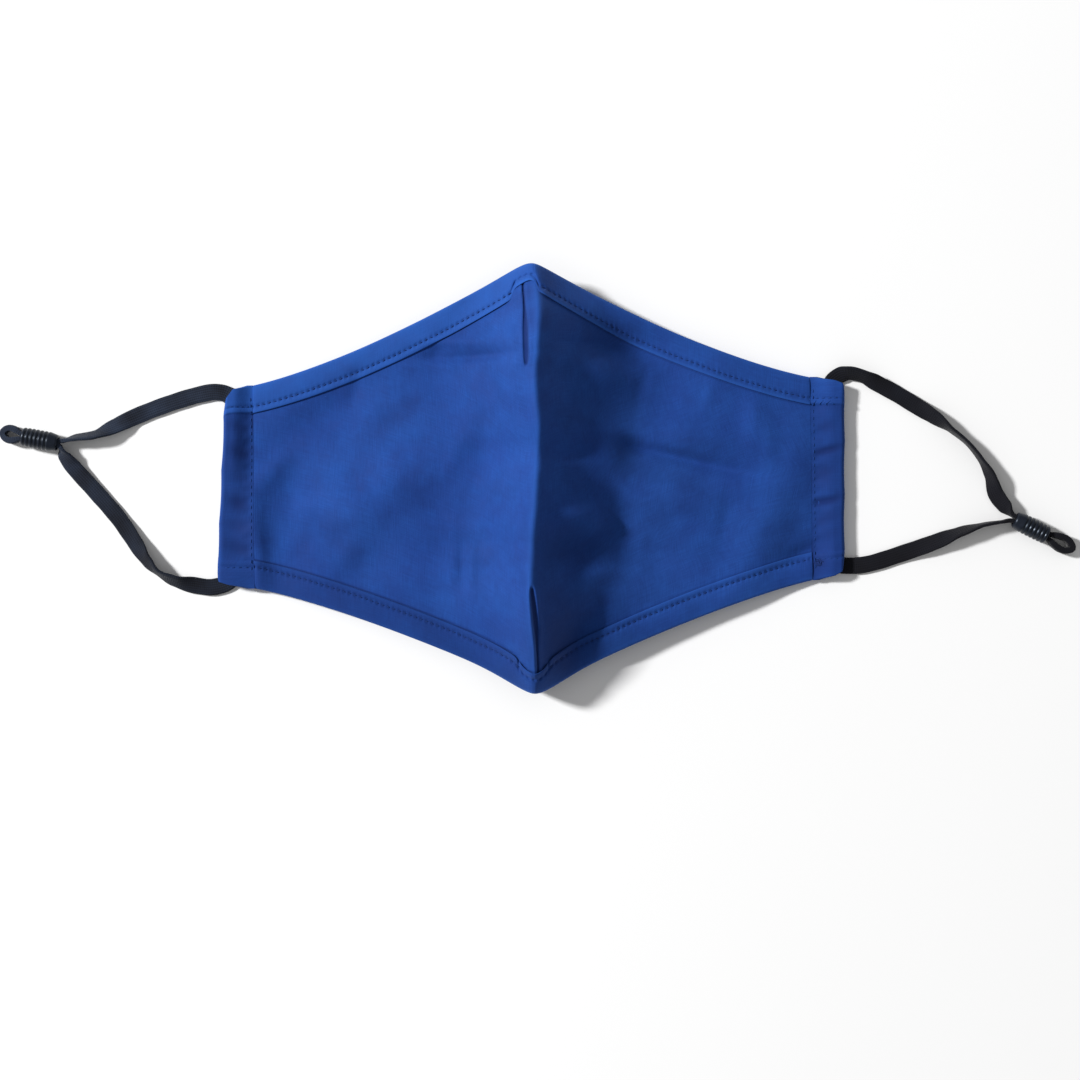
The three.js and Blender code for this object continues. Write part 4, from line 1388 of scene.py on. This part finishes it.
def stitches(name, centres, ahead, normal, long, thick, deep):
    """A row of short threads in one mesh: each is a tube along its own arc that dives into the cloth at both
    ends, its radius a rounded power of the distance to its middle. The last argument is how much painted
    shade darkens the threads, one number or one for each."""
    rings = 9
    sides = 8
    thinnest = 0.02
    sink_share = 0.75
    way = np.linspace(-1, 1, rings)
    radius = 0.5 * thick * np.sqrt(np.clip(1 - np.abs(way) ** 4, thinnest, 1))
    sink = sink_share * thick * np.abs(way) ** 3
    angle = 2 * np.pi * np.arange(sides) / sides
    beside = np.cross(normal, ahead)
    along = centres[:, None, :] + ahead[:, None, :] * (way[None, :, None] * long / 2)
    along = along - normal[:, None, :] * sink[None, :, None]
    round_part = (
        np.cos(angle)[None, None, :, None] * beside[:, None, None, :]
        + np.sin(angle)[None, None, :, None] * normal[:, None, None, :]
    )
    points = along[:, :, None, :] + radius[None, :, None, None] * round_part
    count = len(centres)
    first_points = (np.arange(count) * rings * sides)[:, None, None]
    faces = (tube_faces(rings, sides)[None] + first_points).reshape(-1, 4)
    run = np.broadcast_to((way * long / 2)[None, :, None], (count, rings, sides))
    turn = np.broadcast_to((angle / (2 * np.pi))[None, None, :], (count, rings, sides))
    uv = np.stack([run.ravel(), turn.ravel()], axis=1)
    values = {"deep": np.repeat(np.broadcast_to(deep, count), rings * sides)}
    return put_mesh(name, points.reshape(-1, 3), faces, material("sewing_thread"), uv, values)


def hem_stitches(sizes, name, edge):
    """Stitches along a hem: equal steps of the edge's run, each laid on the hem's face just outside its lip,
    and leaning a little by turns."""
    end_gap = 1.0 * MM
    notch_gap = 0.4
    sunk_by = 0.2 * MM
    lean_by = 0.16 * MM
    step = 0.5 * MM
    half_span = sizes.half_width - sizes.channel_width - end_gap
    fine = np.linspace(-half_span, half_span, 3000)
    run = edge_run(sizes, fine, edge)
    places = np.arange(0.5 * sizes.stitch_pitch, run[-1], sizes.stitch_pitch)
    x = np.interp(places, run, fine)
    _, notch_middle, notch_half, _ = edge["notch"]
    x = x[np.abs(x - notch_middle * MM) > (notch_half + notch_gap) * MM]
    depth = sizes.fit_gap + sizes.hem_wall - sunk_by

    def at(shift_x, shift_in):
        inset = stitch_inset(sizes, x, edge) + shift_in
        return hem_point(sizes, x + shift_x, edge, inset, depth)

    lean = lean_by * np.sin(2.4 * np.arange(len(x)))
    ahead = unit(at(step, lean) - at(-step, -lean))
    across = at(0, -step) - at(0, step)
    normal = unit(np.cross(ahead, across) * edge["side"])
    long = 0.74 * sizes.stitch_pitch
    stitches(f"{name}_hem_stitches", at(0, 0), ahead, normal, long, sizes.thread, deep=0.85)


def channel_point(sizes, side, u, y):
    """A place on top of a side channel."""
    x = side["sign"] * (sizes.half_width - sizes.channel_width + u)
    x = x + side["lean"] * MM * y / sizes.side_half * u / sizes.channel_width
    return np.stack(np.broadcast_arrays(x, y, channel_top(sizes, side, u, y)), axis=-1)


def channel_way(sizes, side, u, y, over, up):
    """The way on a channel's top from a little before a place to as much beyond it."""
    beyond = channel_point(sizes, side, u + over, y + up)
    return unit(beyond - channel_point(sizes, side, u - over, y - up))


def channel_stitches(sizes, name, side):
    """Stitches of a side channel: one upright row beside the seam, and one row across each hem end."""
    inset = 0.9 * MM
    end_gap = 3.0 * MM
    side_gap = 2.2 * MM
    upright_pitch = 1.15 * sizes.stitch_pitch
    step = 0.4 * MM
    lifted = 0.06 * MM
    reach = sizes.side_half - end_gap
    y = np.arange(-reach, reach, upright_pitch)
    u = np.full_like(y, inset)
    cross_y = lip_at_side(sizes, np.array([1.0, -1.0])) + STITCH_FROM_LIP
    cross_u = np.arange(side_gap, sizes.channel_width - side_gap, sizes.stitch_pitch)
    u_all = np.concatenate([u, cross_u, cross_u])
    y_all = np.concatenate([y, np.full_like(cross_u, cross_y[0]), np.full_like(cross_u, -cross_y[1])])
    up = channel_way(sizes, side, u, y, over=0, up=step)
    over = channel_way(sizes, side, cross_u, cross_y[0], over=step, up=0)
    ahead = np.concatenate([up, over, over])
    centres = channel_point(sizes, side, u_all, y_all) + UP * lifted
    _, normal = upright_frame(ahead)
    long = 0.78 * sizes.stitch_pitch
    stitches(f"{name}_channel_stitches", centres, ahead, normal, long, sizes.thread, deep=0.5)


def channel_tacks(sizes, name, side):
    """Back stitches and a knot on a side channel: threads laid on its top, each turned by its own angle."""
    step = 0.5 * MM
    lifted = 0.12 * MM
    long = 2.4 * MM
    tack = columns_of(TACKS, TACK_COLUMNS)
    u = tack["across"] * MM
    y = tack["y"] * MM
    turn = np.radians(tack["turn"])
    ahead = channel_way(sizes, side, u, y, over=step * np.cos(turn), up=step * np.sin(turn))
    centres = channel_point(sizes, side, u, y) + UP * lifted
    _, normal = upright_frame(ahead)
    stitches(f"{name}_channel_tacks", centres, ahead, normal, long, sizes.thread, tack["dark"])


class MASK_OT_stitching(bpy.types.Operator):
    """All rows of stitches."""

    bl_idname = "mask.stitching"
    bl_label = "Stitching"

    def execute(self, context):
        sizes = context.scene.mask_sizes
        for name, edge in EDGES.items():
            hem_stitches(sizes, name, edge)
        for name, side in SIDES.items():
            channel_stitches(sizes, name, side)
        channel_tacks(sizes, "right", SIDES["right"])
        return {"FINISHED"}


def closed_spline(knots, values, spacing):
    """A closed centripetal Catmull-Rom curve through the knots: each span is a cubic whose end slopes come
    from its four neighbouring knots, weighted by the square root of their distances. values ride along as
    smooth cubics. Returns the points, the values and the unit tangents, about spacing apart."""
    p0 = np.roll(knots, 1, axis=0)
    p2 = np.roll(knots, -1, axis=0)
    p3 = np.roll(knots, -2, axis=0)
    d0, d1, d2 = (
        np.sqrt(np.linalg.norm(way, axis=1))[:, None] for way in (knots - p0, p2 - knots, p3 - p2)
    )
    slope1 = ((knots - p0) / d0 - (p2 - p0) / (d0 + d1) + (p2 - knots) / d1) * d1
    slope2 = ((p2 - knots) / d1 - (p3 - knots) / (d1 + d2) + (p3 - p2) / d2) * d1
    steps = np.maximum(2, np.round(np.linalg.norm(p2 - knots, axis=1) / spacing)).astype(int)
    span = np.repeat(np.arange(len(knots)), steps)
    t = np.concatenate([np.arange(n) / n for n in steps])[:, None]
    a = 2 * knots - 2 * p2 + slope1 + slope2
    b = -3 * knots + 3 * p2 - 2 * slope1 - slope2
    points = ((a[span] * t + b[span]) * t + slope1[span]) * t + knots[span]
    tangents = unit((3 * a[span] * t + 2 * b[span]) * t + slope1[span])
    ease = smooth_step(0, 1, t)
    carried = values[span] * (1 - ease) + np.roll(values, -1, axis=0)[span] * ease
    return points, carried, tangents


def lock_place(elastic, side, sizes):
    """Near end of a cord lock, the way it points, and the side that its upper strand runs on."""
    tilt = math.radians(side["lock_tilt"])
    along = np.array([side["sign"] * math.cos(tilt), math.sin(tilt), 0])
    x = side["sign"] * (sizes.half_width + side["reach"] * MM)
    near = np.array([x, side["lock_up"] * sizes.side_half, elastic.lock_radius])
    upper = np.cross(np.array([0, 0, side["sign"]]), along)
    return near, along, upper


def loop_stations(sizes, elastic, side):
    """Knots of an ear loop and, for each, its turn, width and thickness: up the channel, out along the upper
    leg, through the lock, round the end loop, back through the lock and down the lower leg."""
    near, along, upper = lock_place(elastic, side, sizes)
    outward = 0.4 * MM
    past_lock = 0.6 * MM
    tunnel_x = sizes.half_width - sizes.channel_wall - tunnel_width_of(sizes) / 2 + outward
    mouth = sizes.side_half - sizes.mouth_depth
    knots = []
    values = []

    def add(point, turn, width, thickness):
        knots.append(point)
        values.append((turn, width, thickness))

    def on_table(out, up, turn):
        angle = math.radians(turn)
        standing = math.sin(angle) * elastic.width + math.cos(angle) * elastic.thickness
        x = side["sign"] * (sizes.half_width + out * side["reach"] * MM)
        point = (x, up * sizes.side_half, standing / 2 + elastic.table_gap)
        add(point, angle, elastic.width, elastic.thickness)

    def in_lock(distance, way):
        aside = way * (elastic.strand_thickness + sizes.fit_gap) / 2
        point = near + along * distance + upper * aside
        add(point, math.pi / 2, elastic.strand_width, elastic.strand_thickness)

    def in_loop(beyond, aside):
        straight = side["end_loop"] * MM - elastic.loop_thickness / 2
        from_near = elastic.lock_length + beyond * straight
        point = near + along * from_near + upper * aside * elastic.loop_half_width
        low = elastic.loop_standing / 2 + elastic.table_gap
        point[2] = elastic.lock_radius * (1 - beyond) + low * beyond
        add(point, math.pi / 2, elastic.loop_standing, elastic.loop_thickness)

    lean = side["lean"] * MM * mouth / sizes.side_half * 0.5
    low = sizes.channel_wall + elastic.thickness / 2 + sizes.fit_gap
    for place in (-1.05, -0.5, 0, 0.5, 1.05):
        point = (side["sign"] * tunnel_x + lean * place, place * mouth, low)
        add(point, 0, elastic.width, elastic.thickness)
    for leg in rows_of(side["upper"], LEG_COLUMNS):
        on_table(**leg)
    through = (-past_lock, elastic.lock_length / 2, elastic.lock_length + past_lock)
    for distance in through:
        in_lock(distance, 1)
    for beyond, aside in END_LOOP:
        in_loop(beyond, aside)
    in_loop(1, 0)
    for beyond, aside in END_LOOP[::-1]:
        in_loop(beyond, -aside)
    for distance in through[::-1]:
        in_lock(distance, -1)
    for leg in rows_of(side["lower"], LEG_COLUMNS):
        on_table(**leg)
    return np.array(knots), np.array(values)


def ear_loop(sizes, elastic, name, side):
    """A flat band along its closed route: a rounded oblong ring, turned about the route, with faint waves
    along its selvedges."""
    round_count = 28
    width_power = 0.32
    height_power = 0.57
    selvedge_wave = 0.012
    thinner_edge = 0.1
    knots, values = loop_stations(sizes, elastic, side)
    route, carried, ahead = closed_spline(knots, values, spacing=0.7 * MM)
    turn, width, thickness = carried.T
    level, up = upright_frame(ahead)
    across = level * np.cos(turn)[:, None] + up * np.sin(turn)[:, None]
    through = np.cross(ahead, across)
    angle = 2 * np.pi * np.arange(round_count) / round_count
    oblong_a = np.sign(np.cos(angle)) * np.abs(np.cos(angle)) ** width_power
    oblong_b = np.sign(np.sin(angle)) * np.abs(np.sin(angle)) ** height_power
    run = np.concatenate([[0], np.cumsum(np.linalg.norm(np.diff(route, axis=0), axis=1))])
    narrower = 1 - selvedge_wave * (1 + wave(run, 1.3))
    half_width = (width * narrower / 2)[:, None]
    half_thick = (thickness / 2)[:, None] * (1 - thinner_edge * np.abs(oblong_a) ** 6)
    ring = route[:, None, :] + across[:, None, :] * (half_width * oblong_a)[..., None]
    ring = ring + through[:, None, :] * (half_thick * oblong_b)[..., None]
    faces = grid_faces(len(route), round_count, closed_across=True, closed_along=True)
    side_place = np.broadcast_to(oblong_a * elastic.width / 2, ring.shape[:2])
    uv = np.stack([np.broadcast_to(run[:, None], ring.shape[:2]), side_place], axis=-1).reshape(-1, 2)
    points = ring.reshape(-1, 3)
    paler_above = smooth_step(-20 * MM, 20 * MM, points[:, 1])
    values = {"worn": side["lint"] * (0.62 + 0.58 * paler_above)}
    made = put_mesh(f"{name}_elastic", points, faces, material("knitted_elastic"), uv, values)
    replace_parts(made, f"ear_loop_{name}")


class MASK_OT_ear_loops(bpy.types.Operator):
    """The elastic ear loops."""

    bl_idname = "mask.ear_loops"
    bl_label = "Ear loops"

    def execute(self, context):
        for name, side in SIDES.items():
            ear_loop(context.scene.mask_sizes, context.scene.elastic_sizes, name, side)
        return {"FINISHED"}


def cord_lock(sizes, elastic, name, side):
    """A ribbed barrel: the outer line is a smooth tapered collar, then a barrel with narrow bell-shaped
    grooves, its ends rounded as quarter ellipses, turned about the lock's axis. The bore is a flattened power
    ellipse that flares at both ends."""
    round_count = 72
    taper = 0.35 * MM
    taper_from = 0.62
    rounding = 0.9 * MM
    end_drop = 0.75 * MM
    side_room = 0.45 * MM
    top_room = 0.3 * MM
    least_wall = 0.05 * MM
    power = 3.0
    full = elastic.lock_length
    pitch = (full - elastic.lock_collar) / elastic.lock_ribs
    along = np.linspace(0, full, 150)
    collar = smooth_step(0, elastic.lock_collar, along)
    body = elastic.lock_collar_radius + (elastic.lock_radius - elastic.lock_collar_radius) * collar
    past_taper = np.clip(along - taper_from * full, 0, None)
    body = body - taper * (past_taper / (0.5 * full)) ** 2
    grooves = elastic.lock_collar + pitch * np.arange(elastic.lock_ribs)[:, None]
    groove = hill(along[None, :], grooves, 0.24 * pitch).sum(axis=0)
    from_end = np.minimum(along, full - along)
    shoulder = 1 - np.sqrt(1 - np.clip(1 - from_end / rounding, 0, 1) ** 2)
    outer = body - elastic.lock_groove * groove - end_drop * shoulder
    angle = 2 * np.pi * np.arange(round_count) / round_count
    flat_part = (np.abs(np.cos(angle)) / (elastic.strand_thickness + side_room)) ** power
    tall_part = (np.abs(np.sin(angle)) / (elastic.strand_width / 2 + top_room)) ** power
    oval = (flat_part + tall_part) ** (-1 / power)
    bore = columns_of(BORE, BORE_COLUMNS)
    flared = oval[None, :] + bore["flare"][:, None] * MM
    outer_rings = np.broadcast_to(outer[:, None], (len(outer), round_count))
    radius = np.concatenate([outer_rings, np.minimum(flared, outer.min() - least_wall)])
    station = np.concatenate([along, bore["along"] * full])
    near, way, upper = lock_place(elastic, side, sizes)
    spread = upper[None, :] * np.cos(angle)[:, None] + UP[None, :] * np.sin(angle)[:, None]
    points = near + way * station[:, None, None] + spread[None] * radius[..., None]
    faces = grid_faces(len(station), round_count, closed_across=True, closed_along=True)
    rubbed_and_highlit = np.concatenate([1 - np.clip(groove, 0, 1), np.zeros(len(BORE))])
    values = {"worn": np.repeat(rubbed_and_highlit, round_count)}
    points = points.reshape(-1, 3)
    made = put_mesh(f"{name}_lock", points, faces, material("soft_rubber"), None, values)
    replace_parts(made, f"cord_lock_{name}")


class MASK_OT_cord_locks(bpy.types.Operator):
    """The ribbed cord locks."""

    bl_idname = "mask.cord_locks"
    bl_label = "Cord locks"

    def execute(self, context):
        for name, side in SIDES.items():
            cord_lock(context.scene.mask_sizes, context.scene.elastic_sizes, name, side)
        return {"FINISHED"}


def front_area(mesh):
    """Area of a closed thin wall's two skins, halved."""
    sizes = np.empty(len(mesh.polygons))
    mesh.polygons.foreach_get("area", sizes)
    return sizes.sum() / 2


class MASK_OT_declare_sheets(bpy.types.Operator):
    """Works out the area of the face cloth's front, and keeps nothing of it."""

    bl_idname = "mask.declare_sheets"
    bl_label = "Declare sheets"

    def execute(self, context):
        objects = bpy.data.objects
        panel = objects["face_cloth"]
        front_area(panel.data)
        return {"FINISHED"}


class MASK_OT_stage(bpy.types.Operator):
    """The pale table, the camera straight above and the soft light from the left."""

    bl_idname = "mask.stage"
    bl_label = "Stage"

    def execute(self, context):
        scene = context.scene
        stage = scene.stage_settings
        half = 4.0
        corners = [(-half, -half, 0), (half, -half, 0), (half, half, 0), (-half, half, 0)]
        mesh = bpy.data.meshes.new("table")
        mesh.from_pydata(corners, [], [(0, 1, 2, 3)])
        mesh.materials.append(material("pale_table"))
        put_in_scene("table", mesh)
        data = bpy.data.cameras.new("camera")
        data.sensor_width = 36
        data.lens = data.sensor_width * stage.camera_height / stage.frame_width
        camera = put_in_scene("camera", data)
        picture_middle = Vector((2.3 * MM, -20.7 * MM, stage.camera_height))
        camera.location = Vector(MIDDLE) + picture_middle
        camera.rotation_euler = (0, 0, -stage.roll)
        scene.camera = camera
        light = bpy.data.lights.new("window_light", "AREA")
        light.size = stage.sun_size
        light.energy = stage.sun_power
        lamp = put_in_scene("window_light", light)
        level = math.cos(stage.sun_elevation)
        to_right = math.cos(stage.sun_azimuth) * level
        to_nose = math.sin(stage.sun_azimuth) * level
        to_light = Vector((to_right, to_nose, math.sin(stage.sun_elevation)))
        lamp.location = to_light * stage.sun_distance
        lamp.rotation_euler = to_light.to_track_quat("Z", "Y").to_euler()
        world = bpy.data.worlds.new("room")
        world.use_nodes = True
        background = world.node_tree.nodes["Background"]
        background.inputs["Color"].default_value = (1, 1, 1, 1)
        background.inputs["Strength"].default_value = stage.ambient
        scene.world = world
        scene.view_settings.view_transform = "Standard"
        return {"FINISHED"}


class MASK_PT_builder(bpy.types.Panel):
    """The mask's pieces and settings in the sidebar."""

    bl_idname = "MASK_PT_builder"
    bl_label = "Cloth face mask"
    bl_space_type = "VIEW_3D"
    bl_region_type = "UI"
    bl_category = "Face mask"

    def draw(self, context):
        for operator in OPERATORS:
            self.layout.operator(operator.bl_idname)
        for key in GROUPS:
            group = getattr(context.scene, key)
            box = self.layout.box()
            for name in group.__annotations__:
                box.prop(group, name)


OPERATORS = (
    MASK_OT_face_panel,
    MASK_OT_edge_hems,
    MASK_OT_side_channels,
    MASK_OT_stitching,
    MASK_OT_ear_loops,
    MASK_OT_cord_locks,
    MASK_OT_declare_sheets,
    MASK_OT_stage,
)
GROUPS = {
    "mask_sizes": MaskSizes,
    "elastic_sizes": ElasticSizes,
    "mask_colours": MaskColours,
    "stage_settings": StageSettings,
}


def register():
    for group in GROUPS.values():
        bpy.utils.register_class(group)
    for key, group in GROUPS.items():
        setattr(bpy.types.Scene, key, PointerProperty(type=group))
    for operator in OPERATORS:
        bpy.utils.register_class(operator)
    bpy.utils.register_class(MASK_PT_builder)


def unregister():
    bpy.utils.unregister_class(MASK_PT_builder)
    for operator in reversed(OPERATORS):
        bpy.utils.unregister_class(operator)
    for key in GROUPS:
        delattr(bpy.types.Scene, key)
    for group in GROUPS.values():
        bpy.utils.unregister_class(group)


def main():
    """Registers the add-on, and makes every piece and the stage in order."""
    register()
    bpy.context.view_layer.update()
    for operator in OPERATORS:
        group, name = operator.bl_idname.split(".")
        getattr(getattr(bpy.ops, group), name)()


if __name__ == "__main__":
    main()
